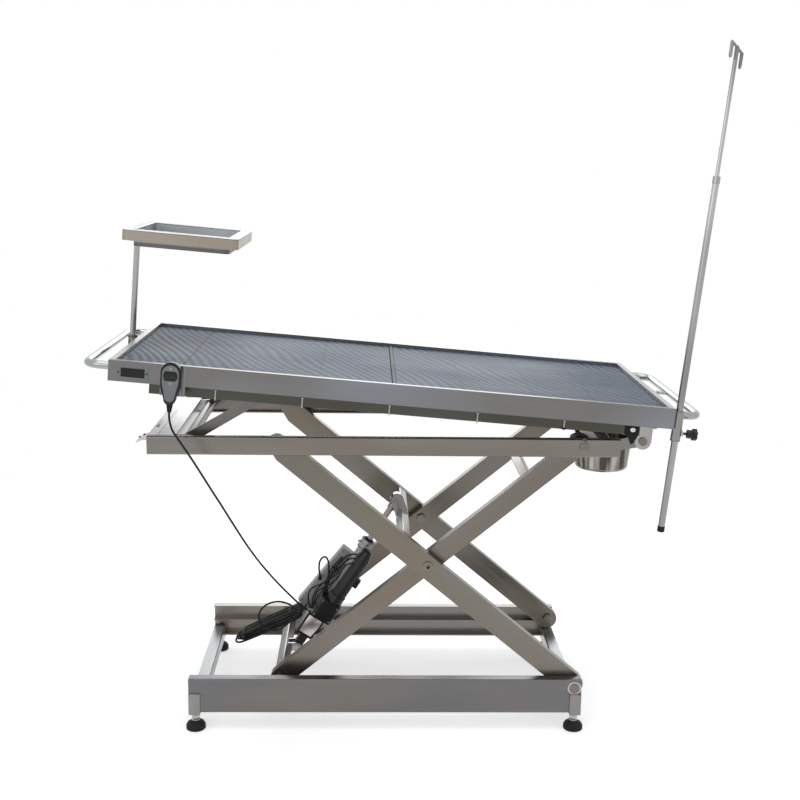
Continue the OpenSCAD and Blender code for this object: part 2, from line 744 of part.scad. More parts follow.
// Tilt prop
module tilt_prop() on_prop() color([0.5, 0.48, 0.45]) {
    leg = prop_leg / 2;
    mirrored_y() translate([0, prop_out - prop_leg_t / 2, 0]) along_y(prop_leg_t) {
        polygon([[0, -leg], [prop_l, -leg * 0.7], [prop_l, leg * 0.7], [0, leg]]);
        circle(leg);
        translate([prop_l, 0]) circle(prop_bar_d / 2);
    }
    rod_y(prop_shaft_d, 2 * (prop_out + 14));
    rod_y(prop_shaft_d + 10, 2 * (prop_out - prop_leg_t));
    translate([prop_l, 0, 0]) rod_y(prop_bar_d, 2 * prop_out);
    // Cross plate with curved gussets, next to the hinge
    web = 3;
    gusset = 46;
    inside = prop_out - prop_leg_t;
    translate([0, 0, -web / 2]) linear_extrude(web) difference() {
        translate([4, -inside]) square([24 + gusset, 2 * inside]);
        translate([28 + gusset, -inside + gusset]) square([gusset, 2 * (inside - gusset)]);
        translate([28 + gusset, 0]) {
            for (s = [-1, 1]) translate([0, s * (inside - gusset)]) circle(gusset);
            translate([-gusset, gusset - inside]) square([gusset, 2 * (inside - gusset)]);
        }
    }
}

// Tabletop
module top_rail_shape() {
    // Seen from the end, the outer face at 0, the rim's top at 0
    translate([0, -top_rail_h]) square([top_t, top_rail_h]);
    translate([0, -top_t]) square([rim_w, top_t]);
    translate([rim_w - top_t, -pan_depth]) square([top_t, pan_depth]);
    translate([0, -top_rail_h]) square([20, top_t]);
}
module mitred_rail(l) {
    // Runs along X from the left corner, its outer face at y = 0
    far = 40;
    difference() {
        along_x(l) top_rail_shape();
        linear_extrude(4 * top_rail_h, center = true) {
            polygon([[-1, -1], [far, far], [-1, far]]);
            polygon([[l + 1, -1], [l - far, far], [l + 1, far]]);
        }
    }
}
module top_rail_front() on_top() color([0.58, 0.56, 0.55]) difference() {
    translate([top_left, -top_w / 2, top_up]) mitred_rail(top_l);
    translate([top_left + display_at, -top_w / 2, top_up - top_rail_h / 2 - 2])
        cube([display_w, 10, display_h], center = true);
}
module top_rail_rear() on_top() color([0.58, 0.56, 0.55])
    translate([top_left, top_w / 2, top_up]) mirror([0, 1, 0]) mitred_rail(top_l);
module top_end_left() on_top() color([0.8, 0.8, 0.8])
    translate([top_left, top_w / 2, top_up]) rotate([0, 0, -90]) mitred_rail(top_w);
module top_end_right() on_top() color([0.7, 0.7, 0.7])
    translate([top_over, -top_w / 2, top_up]) rotate([0, 0, 90]) mitred_rail(top_w);

module top_pan() on_top() color([0.7, 0.7, 0.7]) {
    inset = top_t + 0.1;
    difference() {
        union() {
            block([top_left + inset, inset - top_w / 2, sub_high],
                  [top_over - inset, top_w / 2 - inset, pan_z]);
            translate([-spout_at, 0, -spout_low]) cylinder(d = spout_d, h = sub_high + spout_low + 0.5);
            translate([-spout_at, 0, sub_high - 14])
                cylinder(d1 = spout_d, d2 = spout_d + 6, h = 14.5, $fn = 64);
        }
        translate([-spout_at, 0, -spout_low - 1]) cylinder(d = spout_d - 4, h = sub_high + spout_low + 20);
    }
}
sub_end = -20;
module subframe_channels() on_top() color([0.5, 0.48, 0.47]) mirrored_y()
    translate([top_left + sub_inset, -sub_out, sub_low]) along_x(sub_end - top_left - sub_inset)
        channel(sub_high - sub_low, sub_w, 2, 3);
module hinge_cross() on_top() color([0.66, 0.66, 0.64]) {
    tube_low = 40;
    translate([sub_end, 0, 0]) along_y(2 * sub_out) difference() {
        translate([0, tube_low]) rounded([40, sub_high - tube_low], 3);
        translate([3, tube_low + 3]) rounded([34, sub_high - tube_low - 6], 1);
    }
    mirrored_y() translate([0, ear_in + ear_t + lug_gap + lug_t / 2, 0]) difference() {
        union() {
            along_y(lug_t) translate([-lug_r, 0]) square([2 * lug_r, tube_low]);
            rod_y(2 * lug_r, lug_t);
        }
        rod_y(hinge_pin_d + 2 * pin_play, lug_t + 2);
    }
}
module prop_track() on_top() color([0.85, 0.84, 0.8]) mirrored_y() {
    reach = hinge_x + prop_x;
    low_x = -reach + prop_l * 0.55;
    high_x = -reach + prop_l * 1.02;
    translate([0, strip_in, 0]) difference() {
        block([low_x, 0, sub_high - strip_t], [high_x, strip_w, sub_high]);
        for (x = [low_x + 20, high_x - 20]) translate([x, strip_w / 2, 0]) cylinder(d = 5, h = sub_high - 2);
    }
}

module mat_halves() on_top() color([0.42, 0.47, 0.55]) {
    gap = rim_w + slip;
    apart = divider_w / 2 + slip;
    for (half = [[top_left + gap, mid_l - apart], [mid_l + apart, top_over - gap]])
        block([half[0], gap - top_w / 2, pan_z], [half[1], top_w / 2 - gap, pan_z + mat_t]);
}
module centre_divider() on_top() color([0.8, 0.8, 0.8]) {
    high = mat_t + divider_up;
    translate([mid_l - divider_w / 2, 0, pan_z]) along_y(top_w - 2 * rim_w - 0.4) {
        square([divider_w, high - 2]);
        translate([divider_w / 2, high - 2]) intersection() {
            circle(divider_w / 2);
            translate([-divider_w / 2, 0]) square([divider_w, 2]);
        }
    }
}
module display_window() on_top() color([0.08, 0.09, 0.09]) {
    middle = [top_left + display_at, top_up - top_rail_h / 2 - 2];
    w = display_w - 0.4;
    h = display_h - 0.4;
    block([middle[0] - w / 2, 0.5 - top_w / 2, middle[1] - h / 2],
          [middle[0] + w / 2, top_t - top_w / 2, middle[1] + h / 2]);
}

module handle_path(out) {
    // Half of a handle, from the tabletop's end face outwards: leg, bend and bar
    leg = out - handle_r;
    half = handle_span / 2;
    rotate([0, 90, 0]) cylinder(d = handle_d, h = leg);
    translate([leg, handle_r, 0]) rotate([0, 0, -90]) rotate_extrude(angle = 90) translate([handle_r, 0])
        circle(d = handle_d);
    translate([leg + handle_r, handle_r, 0]) rotate([-90, 0, 0]) cylinder(d = handle_d, h = half - handle_r);
}
module handle(out) {
    mirrored_y() translate([0, -handle_span / 2, 0]) {
        handle_path(out);
        rotate([0, 90, 0]) cylinder(d = handle_d + 9, h = 3);
    }
}
module handle_left() on_top() color([0.82, 0.82, 0.82])
    translate([top_left, 0, handle_z]) mirror([1, 0, 0]) handle(handle_out);
module handle_right() on_top() color([0.82, 0.82, 0.82]) translate([top_over, 0, handle_z]) {
    handle(handle_right_out);
    // Stay between the end rail and the bar
    translate([0, 22, 0]) rotate([0, 90, 0]) cylinder(d = 8, h = handle_right_out - handle_d / 2 + 1);
    translate([handle_right_out / 2, 22, 0]) sphere(d = 12);
}

// Drip stand
holder_d = stand_d + 7;
holder_z = [22, top_up - 6];
module iv_holder() on_stand() color([0.7, 0.7, 0.69]) difference() {
    union() {
        translate([0, 0, holder_z[0]]) cylinder(d = holder_d, h = holder_z[1] - holder_z[0]);
        translate([0, 0, knob_z]) rotate([0, 90, 0]) cylinder(d = 12, h = holder_d / 2 + 2);
    }
    translate([0, 0, holder_z[0] - 1]) cylinder(d = stand_d + 4 * pin_play, h = 2 * top_up);
    translate([0, 0, knob_z]) rotate([0, 90, 0]) cylinder(d = 6 + 4 * pin_play, h = 30);
    // The side that is welded to the end rail is flat
    translate([-stand_out - 10, -holder_d, 0]) cube([10, 2 * holder_d, 2 * top_up]);
}
module iv_knob() on_stand() color([0.08, 0.08, 0.08])
    translate([stand_d / 2 + 0.5, 0, knob_z]) rotate([0, 90, 0]) {
        cylinder(d = 6, h = 22);
        translate([0, 0, 17]) cylinder(d = 20, h = 13);
        translate([0, 0, 29]) linear_extrude(10) {
            circle(11);
            for (a = [0:60:300]) rotate(a) translate([9.5, 0]) circle(4.5);
        }
    }
module iv_tube() on_stand() color([0.76, 0.75, 0.75]) translate([0, 0, -stand_low]) difference() {
    cylinder(d = stand_d, h = stand_l);
    translate([0, 0, 3]) cylinder(d = rod_stand_d + 4 * pin_play, h = stand_l);
}
module hook_wire() {
    // A J hook on the end of the bar: down, round and up again
    shank = hook_drop - hook_r;
    translate([0, 0, -shank]) cylinder(d = hook_d, h = shank);
    sphere(d = hook_d);
    translate([hook_r, 0, -shank]) rotate([90, 0, 0]) rotate([0, 0, 180])
        rotate_extrude(angle = 180) translate([hook_r, 0]) circle(d = hook_d);
    translate([2 * hook_r, 0, -shank]) cylinder(d = hook_d, h = shank);
    translate([2 * hook_r, 0, 0]) sphere(d = hook_d);
}
module iv_rod() on_stand() color([0.76, 0.72, 0.72]) translate([0, 0, stand_l - stand_low]) {
    translate([0, 0, -rod_hidden]) cylinder(d = rod_stand_d, h = rod_hidden + rod_show);
    half = hook_span / 2;
    slope = atan2(hook_slope, half);
    translate([0, 0, rod_show]) rotate(hook_turn) {
        rotate([0, 90 + slope, 0]) cylinder(d = hook_d, h = 2 * half / cos(slope), center = true);
        sphere(d = rod_stand_d);
        for (s = [0, 1]) rotate(180 * s) translate([half, 0, (2 * s - 1) * hook_slope])
            rotate(hook_twist - hook_turn) hook_wire();
    }
}

// Instrument tray
socket_z = [rail_low + 2, top_up - 4];
module tray_socket() on_top() color([0.7, 0.7, 0.7]) difference() {
    union() {
        translate([post_x, post_y, socket_z[0]]) cylinder(d = post_d + 6, h = socket_z[1] - socket_z[0]);
        block([post_x + post_d / 2 + 1, post_y - 8, socket_z[0] + 2],
              [top_left, post_y + 8, socket_z[1] - 2]);
    }
    translate([post_x, post_y, socket_z[0] - 1]) cylinder(d = post_d + 4 * pin_play, h = 2 * top_up);
}
post_tip = 12;
module tray_post() on_top() color([0.66, 0.65, 0.65]) translate([post_x, post_y, socket_z[0]]) {
    cylinder(d = post_d, h = tray_up - socket_z[0] - slip);
    cylinder(d = post_d - 5, h = tray_up - socket_z[0] + post_tip);
}
module tray_frame() on_top() color([0.62, 0.6, 0.6]) {
    x0 = post_x - tray_left;
    y0 = post_y - tray_fore;
    wall = 2;
    translate([x0, y0, tray_up]) difference() {
        linear_extrude(tray_h) rounded([tray_x, tray_y], 14);
        translate([0, 0, wall]) linear_extrude(tray_h) translate([wall, wall])
            rounded([tray_x - 2 * wall, tray_y - 2 * wall], 12);
        translate([18, 18, -1]) linear_extrude(tray_h) rounded([tray_x - 36, tray_y - 36], 8);
        translate([post_x - x0, post_y - y0, -1]) cylinder(d = post_d - 5 + 2 * pin_play, h = tray_h + 2);
    }
    difference() {
        translate([post_x - 8, post_y - 13, tray_up]) linear_extrude(post_tip + 4) rounded([16, 26], 3);
        translate([post_x, post_y, tray_up - 1])
            cylinder(d = post_d - 5 + 2 * pin_play, h = post_tip + 1 + slip);
    }
}
dish_gap = 24;
module tray_dish() on_top() color([0.72, 0.73, 0.73]) {
    x0 = post_x - tray_left;
    y0 = post_y - tray_fore;
    wall = 1.5;
    top = tray_up + tray_h + slip;
    translate([x0 + 1, y0 + 1, top]) difference() {
        linear_extrude(wall) rounded([tray_x - 2, tray_y - 2], 13);
        translate([dish_gap, dish_gap, -1]) linear_extrude(wall + 2)
            rounded([tray_x - 2 - 2 * dish_gap, tray_y - 2 - 2 * dish_gap], 16);
    }
    translate([x0 + 1 + dish_gap - wall, y0 + 1 + dish_gap - wall, top + wall - dish_h]) difference() {
        size = [tray_x - 2 - 2 * dish_gap + 2 * wall, tray_y - 2 - 2 * dish_gap + 2 * wall];
        linear_extrude(dish_h) rounded(size, 16 + wall);
        translate([wall, wall, wall]) linear_extrude(dish_h)
            rounded([size[0] - 2 * wall, size[1] - 2 * wall], 16);
    }
}

// Handset on its holder
module hand_shape(inset) {
    r = hand_w / 2 - inset;
    low_r = hand_w * 0.3 - inset;
    high = hand_l / 2 - hand_w / 2;
    low = -hand_l / 2 + hand_w * 0.3;
    translate([0, high]) circle(r);
    translate([0, low]) circle(low_r);
    polygon([[-r, high], [-r, high - 30], [-low_r, low], [low_r, low], [r, high - 30], [r, high]]);
}
module handset_shell() on_handset() color([0.1, 0.1, 0.11]) difference() {
    union() {
        translate([0, -hand_t / 2, 0]) along_y(hand_t - 4) hand_shape(0);
        translate([0, -hand_t / 2, 0]) along_y(hand_t) hand_shape(2);
        translate([0, -hand_t / 2, -hand_l / 2 - boot_l + 6]) cylinder(d1 = cord_d + 3, d2 = 15, h = boot_l);
    }
    translate([0, -hand_t, rocker_z]) cube([rocker_w, 2 * rocker_in, rocker_h], center = true);
    translate([0, -hand_t / 2, -hand_l / 2 - boot_l + 5]) cylinder(d = cord_d + 0.4, h = 15);
}
rocker_z = 18;
rocker_w = 28;
rocker_h = 16;
rocker_in = 4;
module handset_rocker() on_handset() color([0.05, 0.05, 0.05]) {
    // A rocking key with two faces that meet at a shallow angle
    w = rocker_w - 1.2;
    h = rocker_h - 1.2;
    translate([-w / 2, 0, rocker_z]) along_x(w)
        polygon([[rocker_in - hand_t - 0.6, -h / 2 + 1.2], [rocker_in - hand_t - 0.6, h / 2 - 1.2],
                 [-hand_t - 1.6, h / 2], [-hand_t - 0.4, 0], [-hand_t - 1.6, -h / 2]]);
}
module handset_holder() on_handset() color([0.45, 0.45, 0.46]) {
    half = hand_w / 2 + slip + 1.5;
    lip = 7;
    block([-half, hand_gap - 1.5, -32], [half + 6, hand_gap, 38]);
    for (x = [-half, half - 1.5]) block([x, -lip, -30], [x + 1.5, hand_gap - 1, 26]);
    block([-8, slip, -24], [8, hand_gap - 1, 24]);
}
module mirror_x() {
    children();
    mirror([1, 0, 0]) children();
}

// Actuator, its axis along Z from its lower pin
gear_x = [-26, motor_side + motor_d / 2 + 4];
gear_front = -motor_off - motor_d / 2 - 3;
module actuator_gearbox() on_actuator() color([0.09, 0.09, 0.1]) difference() {
    union() {
        translate([gear_x[0], -gear_w / 2, gear_low]) linear_extrude(gear_high - gear_low)
            rounded([gear_w, gear_w], 8);
        translate([gear_x[0], gear_front, gear_step]) linear_extrude(gear_high - gear_step)
            rounded([gear_x[1] - gear_x[0], gear_w / 2 - gear_front], 8);
        rod_y(22, fork_gap - 1);
        translate([-11, 0.5 - fork_gap / 2, 0]) cube([22, fork_gap - 1, gear_low + 1]);
    }
    rod_y(act_pin_d + 2 * pin_play, fork_gap + 2);
}
module actuator_tube() on_actuator() color([0.75, 0.76, 0.77]) difference() {
    union() {
        translate([0, 0, gear_high + 0.1]) cylinder(d = act_tube_d, h = act_tube_l - collar_l);
        translate([0, 0, gear_high + act_tube_l - collar_l]) cylinder(d = act_tube_d + 7, h = collar_l);
    }
    translate([0, 0, gear_high + 20]) cylinder(d = rod_d + 1, h = act_tube_l);
}
module actuator_motor() on_actuator() color([0.07, 0.07, 0.08]) {
    cap = 24;
    translate([motor_side, -motor_off, gear_high + 0.1]) {
        cylinder(d = motor_d + 4, h = 22);
        cylinder(d = motor_d, h = motor_l - cap);
        translate([0, 0, motor_l - cap]) cylinder(d1 = motor_d, d2 = motor_d - 12, h = cap);
        translate([motor_d / 2 - 3, -9, 62]) cube([12, 18, 24]);
    }
}
box_lean = 6;
module control_box() on_actuator() color([0.6, 0.6, 0.6]) {
    translate([-box_w - 17, gear_w / 2 + 2, 96]) rotate([0, box_lean, 0]) {
        linear_extrude(box_l) rounded([box_w, box_t], 5);
    }
    // Foot of the box on the gear housing
    block([gear_x[0] + 2, gear_w / 2 + 0.1, 112], [gear_x[0] + 16, gear_w / 2 + 6, 150]);
}
module actuator_rod() on_actuator() color([0.8, 0.8, 0.8]) difference() {
    eye_d = act_pin_d + 2 * act_play;
    union() {
        translate([0, 0, gear_high + 22 + rod_stroke])
            cylinder(d = rod_d, h = act_length - eye_d / 2 - gear_high - rod_stroke - 30);
        translate([0, 0, act_length]) rod_y(eye_d + 16, fork_gap - 2);
        translate([0, 0, act_length - 30]) cylinder(d = rod_d + 6, h = 20);
    }
    translate([0, 0, act_length]) rod_y(eye_d, fork_gap);
}

// Cords: a round tube swept along points
function unit(v) = v / norm(v);
function tangent(p, i) = unit(p[min(i + 1, len(p) - 1)] - p[max(i - 1, 0)]);
function ring(c, t, up, r, n) =
    let (a = unit(cross(t, up)), b = cross(a, t))
    [for (k = [0:n - 1]) c + r * (a * cos(360 * k / n) + b * sin(360 * k / n))];
function smooth_point(p, i, t) =
    let (a = p[max(i - 1, 0)], b = p[i], c = p[i + 1], d = p[min(i + 2, len(p) - 1)])
    0.5 * (2 * b + (c - a) * t + (2 * a - 5 * b + 4 * c - d) * t * t + (3 * b - a - 3 * c + d) * t * t * t);
function smooth(p, n) = [for (i = [0:len(p) - 2], k = [0:n - 1]) smooth_point(p, i, k / n), p[len(p) - 1]];
function length_to(p, i) = i == 0 ? 0 : norm(p[i] - p[i - 1]) + length_to(p, i - 1);
module cord(p, d, up, n = 8) {
    rings = [for (i = [0:len(p) - 1]) ring(p[i], tangent(p, i), up, d / 2, n)];
    last = len(p) - 1;
    points = [for (r = rings, q = r) q];
    sides = [for (i = [0:last - 1], k = [0:n - 1]) let (a = i * n + k, b = i * n + (k + 1) % n)
        each [[a, b, b + n], [a, b + n, a + n]]];
    ends = [for (k = [1:n - 2]) each [[0, k + 1, k], [last * n, last * n + k, last * n + k + 1]]];
    polyhedron(points, concat(sides, ends));
}

// Places of the handset and of the actuator's lower pin for which the cords' routes are drawn
hand_drawn = [-493.5389, -315, 884.4933];
pin_drawn = [-232.0155, 0, 117.9959];
// How far these places are from there
hand_shift = [
    hinge_x + hand_x * cos(tilt) + hand_up * sin(tilt),
    -top_w / 2 - hand_gap,
    hinge_z - hand_x * sin(tilt) + hand_up * cos(tilt)
] - hand_drawn;
pin_shift = [act_low[0], 0, act_low[1]] - pin_drawn;
// A route that follows both places: its ends lie at these shares of the way from the first to the second
function carried(p, from, to) =
    [for (i = [0:len(p) - 1])
        let (t = from + (to - from) * i / (len(p) - 1)) p[i] + (1 - t) * hand_shift + t * pin_shift];
// Route of the handset's cord, in the base's own place
cord_upper_route = [
    [-498, -326, 829], [-499.4, -326, 812], [-498, -326, 795], [-493, -327, 777], [-482, -327, 758],
    [-468, -326, 736], [-452, -322, 709], [-436, -315, 679], [-421, -306, 649], [-405.15, -294.11, 616.3]
];
cord_lower_route = [
    [-405, -294, 616], [-392, -281, 588], [-379, -264, 557], [-366, -245, 525], [-353, -225, 493],
    [-339, -202, 459], [-324, -178, 425], [-308, -152, 391], [-290, -127, 357], [-272, -105, 326],
    [-254, -88, 299], [-237, -76, 276], [-222, -68, 258]
];
module handset_cord_upper() on_base() color([0.05, 0.05, 0.05])
    cord(smooth(carried(cord_upper_route, 0, 0.4), 2), cord_d, [0, 1, 0]);
module handset_cord_lower() on_base() color([0.05, 0.05, 0.05])
    cord(smooth(carried(cord_lower_route, 0.4, 1), 2), cord_d, [0, 1, 0]);

// Hank of spare cord: loops with a narrow, tied end at the gear housing, the hank's own measures
hank_loops = 8;
hank_pitch = 6.8;
hank_a = 90;
hank_b = 10;
hank_lean = 25;
hank_at = [-300, -38, 186];
// Narrow loops with round ends, a little wider at their tied end
function hank_point(t) =
    let (
        f = 360 * t,
        grow = 1 + 0.05 * sin(137 * t),
        u = hank_a * (grow * cos(f) - grow + 1),
        wide = hank_b * (1 + 0.15 * sin(101 * t) + 0.15 * cos(f)),
        w = wide * sin(f) / sqrt(sin(f) * sin(f) + 0.15 * cos(f) * cos(f)),
        c = cos(hank_lean),
        s = sin(hank_lean)
    )
    hank_at + [u * c - w * s, hank_pitch * (t - 1), u * s + w * c];
hank_in = [[-222, -68, 258], [-214, -62, 246], [-211, -54, 236]];
hank_out = [[-214, 11.5, 217], [-211, 13.5, 213.4], [-205, 14, 209.3]];
hank_route = concat(hank_in, [for (k = [1:24 * hank_loops - 1]) hank_point(k / 24)], hank_out);
module cable_hank() on_base() color([0.05, 0.05, 0.05])
    cord(carried(hank_route, 1, 1), cord_d, [0, 1, 0.001], 6);
// Least gap of the hank to itself, over points 4 to a ring's pitch and at least 6 rings apart
fine = [for (i = [0:len(hank_route) - 2], k = [0:3])
    hank_route[i] + (hank_route[i + 1] - hank_route[i]) * k / 4];
hank_gap = min([for (i = [0:len(fine) - 25], j = [i + 24:len(fine) - 1]) norm(fine[i] - fine[j])]) - cord_d;
echo(hank_gap = hank_gap);

// Route of the actuator's lead, in the actuator's own place
lead_route = [
    [-22, -16, 166.3], [-22.5, -17, 176], [-28, -15, 192], [-38, -10, 212], [-49, -4, 230], [-60, 0, 242],
    [-69, 4, 244], [-74, 8, 236], [-73, 11, 222], [-66, 13, 208], [-57, 14, 196], [-49, 15, 186],
    [-46, 19, 180], [-46, 25.6, 180]
];
module actuator_lead() on_actuator() color([0.05, 0.05, 0.05])
    cord(smooth(lead_route, 2), lead_d, [0.1, 1, 0.05]);

base_rail_front();
base_rail_rear();
base_cross_members();
corner_brackets();
base_pivot_bolts();
foot_front_left();
foot_front_right();
foot_rear_left();
foot_rear_right();
outer_arm_front();
outer_arm_rear();
outer_cross_tube();
centre_pivot_bolts();
upper_rollers();
lower_rollers();
inner_arm_front();
inner_arm_rear();
inner_cross_upper();
inner_cross_lower();
upper_rail_front();
upper_rail_rear();
upper_cross_left();
upper_cross_right();
frame_pins();
bucket_runners();
bucket();
tilt_prop();
top_rail_front();
top_rail_rear();
top_end_left();
top_end_right();
top_pan();
subframe_channels();
hinge_cross();
prop_track();
mat_halves();
centre_divider();
display_window();
handle_left();
handle_right();
iv_holder();
tray_socket();
handset_holder();
iv_knob();
iv_tube();
iv_rod();
tray_post();
tray_frame();
tray_dish();
handset_shell();
handset_rocker();
actuator_gearbox();
actuator_tube();
actuator_motor();
control_box();
actuator_rod();
handset_cord_upper();
handset_cord_lower();
cable_hank();
actuator_lead();
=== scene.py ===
"""Looks of the tilting operating table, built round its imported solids. Names that end in MM, at_mm and the shapes
below are in millimetres, and everything else is in metres, in the solids' own frame."""

import math

import bmesh
import bpy
from mathutils import Euler, Matrix, Vector


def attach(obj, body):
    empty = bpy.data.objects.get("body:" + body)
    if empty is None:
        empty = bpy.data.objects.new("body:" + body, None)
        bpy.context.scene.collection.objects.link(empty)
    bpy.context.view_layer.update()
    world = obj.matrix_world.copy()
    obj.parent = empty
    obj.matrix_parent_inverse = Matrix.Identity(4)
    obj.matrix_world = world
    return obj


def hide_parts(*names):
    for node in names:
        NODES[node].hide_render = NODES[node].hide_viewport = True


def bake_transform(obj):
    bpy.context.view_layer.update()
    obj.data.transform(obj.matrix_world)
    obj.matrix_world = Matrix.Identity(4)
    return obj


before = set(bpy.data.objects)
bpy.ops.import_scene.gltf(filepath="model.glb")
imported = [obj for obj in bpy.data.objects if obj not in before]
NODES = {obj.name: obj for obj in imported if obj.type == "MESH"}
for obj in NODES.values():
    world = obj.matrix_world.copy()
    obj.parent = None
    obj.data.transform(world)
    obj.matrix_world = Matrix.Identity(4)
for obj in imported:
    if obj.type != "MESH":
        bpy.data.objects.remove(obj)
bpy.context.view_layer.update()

# Sizes and places of the solids, as their source gives them
MID_MM = Vector((31.65613888, -13.5, 0))
UPPER_Z_MM = 719.82943
TILT = math.radians(4.6)
LIFT = math.radians(39.7)
LEAN = math.radians(32.83399)
PROP_ANGLE = math.radians(30.03658)
HANK_LEAN = math.radians(25)
BASE_HALF_L_MM, BASE_HALF_W_MM, UPPER_HALF_W_MM = 483, 254, 245
FOOT_X_MM, FOOT_Y_MM = 468, 240
PIVOT_X_MM, PIVOT_Z_MM = 465.5, 113
MIDDLE_BOLT_MM = (100.03521, 0, 416.41471)
HINGE_X_MM, HINGE_UP_MM = 606, 15
TOP_L_MM, TOP_W_MM, TOP_UP_MM, TOP_OVER_MM = 1300, 620, 100, 47
TOP_LEFT_MM = TOP_OVER_MM - TOP_L_MM
TOP_FRONT_MM, CHANNEL_FRONT_MM = -TOP_W_MM / 2, -270
MAT_RIM_MM, MAT_HALF_GAP_MM = 14.3, 4.3
POST_X_MM, POST_Y_MM = TOP_LEFT_MM - 18, 60
TRAY_X_MM, TRAY_Y_MM, TRAY_UP_MM, TRAY_H_MM = 282, 344, 350, 24
KNOB_Z_MM = 41
# Diameters of the cords and of the harness wires, in metres
CORD, WIRE = 0.005, 0.0038


def turn_y(angle):
    return Matrix.Rotation(angle, 4, "Y")


def at_mm(x, y, z):
    return Matrix.Translation(Vector((x, y, z)) / 1000)


BASE = at_mm(-MID_MM.x, -MID_MM.y, 0)
UPPER = BASE @ at_mm(0, 0, UPPER_Z_MM)
TOP = BASE @ at_mm(HINGE_X_MM, 0, UPPER_Z_MM + HINGE_UP_MM) @ turn_y(TILT)
ACTUATOR = BASE @ at_mm(-232.01549, 0, 117.9959) @ turn_y(LEAN)
HANDSET = TOP @ at_mm(TOP_LEFT_MM + 145, TOP_FRONT_MM - 5, 61)
OUTER_ARMS = BASE @ at_mm(*MIDDLE_BOLT_MM) @ turn_y(LIFT)
INNER_ARMS = BASE @ at_mm(*MIDDLE_BOLT_MM) @ turn_y(-LIFT)
PROP = UPPER @ at_mm(-478, 0, 6) @ turn_y(-PROP_ANGLE)
STAND_TURN = turn_y(math.radians(0.8))
STAND = TOP @ at_mm(TOP_OVER_MM + 11.5, TOP_FRONT_MM + 15, KNOB_Z_MM) @ STAND_TURN @ at_mm(0, 0, -KNOB_Z_MM)
BOX = ACTUATOR @ at_mm(-61, 26, 96) @ turn_y(math.radians(6))
HANK_AT_MM = Vector((-300, -38, 186))
HANK = BASE @ at_mm(*HANK_AT_MM) @ turn_y(-HANK_LEAN)


# Camera at the photograph's place


FOCAL_PX, PHOTO_PX, SENSOR_WIDTH = 1176.9, 800, 36


def place_camera():
    eye = Vector((-0.04797, -2.94272, 1.38792)) - MID_MM / 1000
    yaw, pitch, roll = math.radians(1.5682), math.radians(11.6056), math.radians(0.7681)
    ahead = Vector((math.sin(yaw) * math.cos(pitch), math.cos(yaw) * math.cos(pitch), -math.sin(pitch)))
    side = Vector((math.cos(yaw), -math.sin(yaw), 0))
    upward = side.cross(ahead)
    right = side * math.cos(roll) + upward * math.sin(roll)
    top = upward * math.cos(roll) - side * math.sin(roll)
    camera = bpy.data.objects.new("camera", bpy.data.cameras.new("camera"))
    camera.data.lens = FOCAL_PX / PHOTO_PX * SENSOR_WIDTH
    camera.data.sensor_width = SENSOR_WIDTH
    camera.data.clip_end = 60
    camera.matrix_world = Matrix.Translation(eye) @ Matrix((right, top, -ahead)).transposed().to_4x4()
    bpy.context.scene.collection.objects.link(camera)
    bpy.context.scene.camera = camera


place_camera()


# Node helpers


def add(tree, kind, **values):
    node = tree.nodes.new(kind)
    for key, value in values.items():
        setattr(node, key, value)
    return node


def math_node(tree, operation, first, second=None, clamp=False):
    node = add(tree, "ShaderNodeMath", operation=operation, use_clamp=clamp)
    for socket, value in zip(node.inputs, (first, second)):
        if value is None:
            continue
        if isinstance(value, (int, float)):
            socket.default_value = value
        else:
            tree.links.new(value, socket)
    return node.outputs[0]


def mapped(tree, vector, scale=(1, 1, 1), rotation=(0, 0, 0), location=(0, 0, 0)):
    node = add(tree, "ShaderNodeMapping")
    node.inputs["Scale"].default_value = scale
    node.inputs["Rotation"].default_value = rotation
    node.inputs["Location"].default_value = location
    tree.links.new(vector, node.inputs["Vector"])
    return node.outputs[0]


def noise(tree, vector, scale, detail=2.0, rough=0.5):
    node = add(tree, "ShaderNodeTexNoise")
    node.inputs["Scale"].default_value = scale
    node.inputs["Detail"].default_value = detail
    node.inputs["Roughness"].default_value = rough
    tree.links.new(vector, node.inputs["Vector"])
    return node.outputs["Fac"]


def spread(tree, value, low, high, to_low=0.0, to_high=1.0):
    """A value between low and high, spread over another range."""
    node = add(tree, "ShaderNodeMapRange")
    for key, number in (("From Min", low), ("From Max", high), ("To Min", to_low), ("To Max", to_high)):
        node.inputs[key].default_value = number
    tree.links.new(value, node.inputs["Value"])
    return node.outputs[0]


def mix(tree, factor, first, second, blend="MIX"):
    node = add(tree, "ShaderNodeMix", data_type="RGBA", blend_type=blend)
    for key, value in ((0, factor), (6, first), (7, second)):
        if isinstance(value, (int, float)):
            node.inputs[key].default_value = value
        elif isinstance(value, tuple):
            node.inputs[key].default_value = (*value, 1)
        else:
            tree.links.new(value, node.inputs[key])
    return node.outputs[2]


def grain(tree, shader, place, scale, detail, strength):
    """A fine grain pressed into a surface."""
    node = add(tree, "ShaderNodeBump")
    node.inputs["Strength"].default_value = strength
    node.inputs["Distance"].default_value = 0.0003
    tree.links.new(noise(tree, place, scale, detail), node.inputs["Height"])
    tree.links.new(node.outputs[0], shader.inputs["Normal"])


def effect(name, inputs, outputs):
    """A node group with named sockets, its input and output nodes ready to wire."""
    group = bpy.data.node_groups.new(name, "ShaderNodeTree")
    for title, kind, value in inputs:
        socket = group.interface.new_socket(title, in_out="INPUT", socket_type=kind)
        if value is not None:
            socket.default_value = value
    for title, kind in outputs:
        group.interface.new_socket(title, in_out="OUTPUT", socket_type=kind)
    return group, add(group, "NodeGroupInput"), add(group, "NodeGroupOutput")


VECTOR, FLOAT = "NodeSocketVector", "NodeSocketFloat"


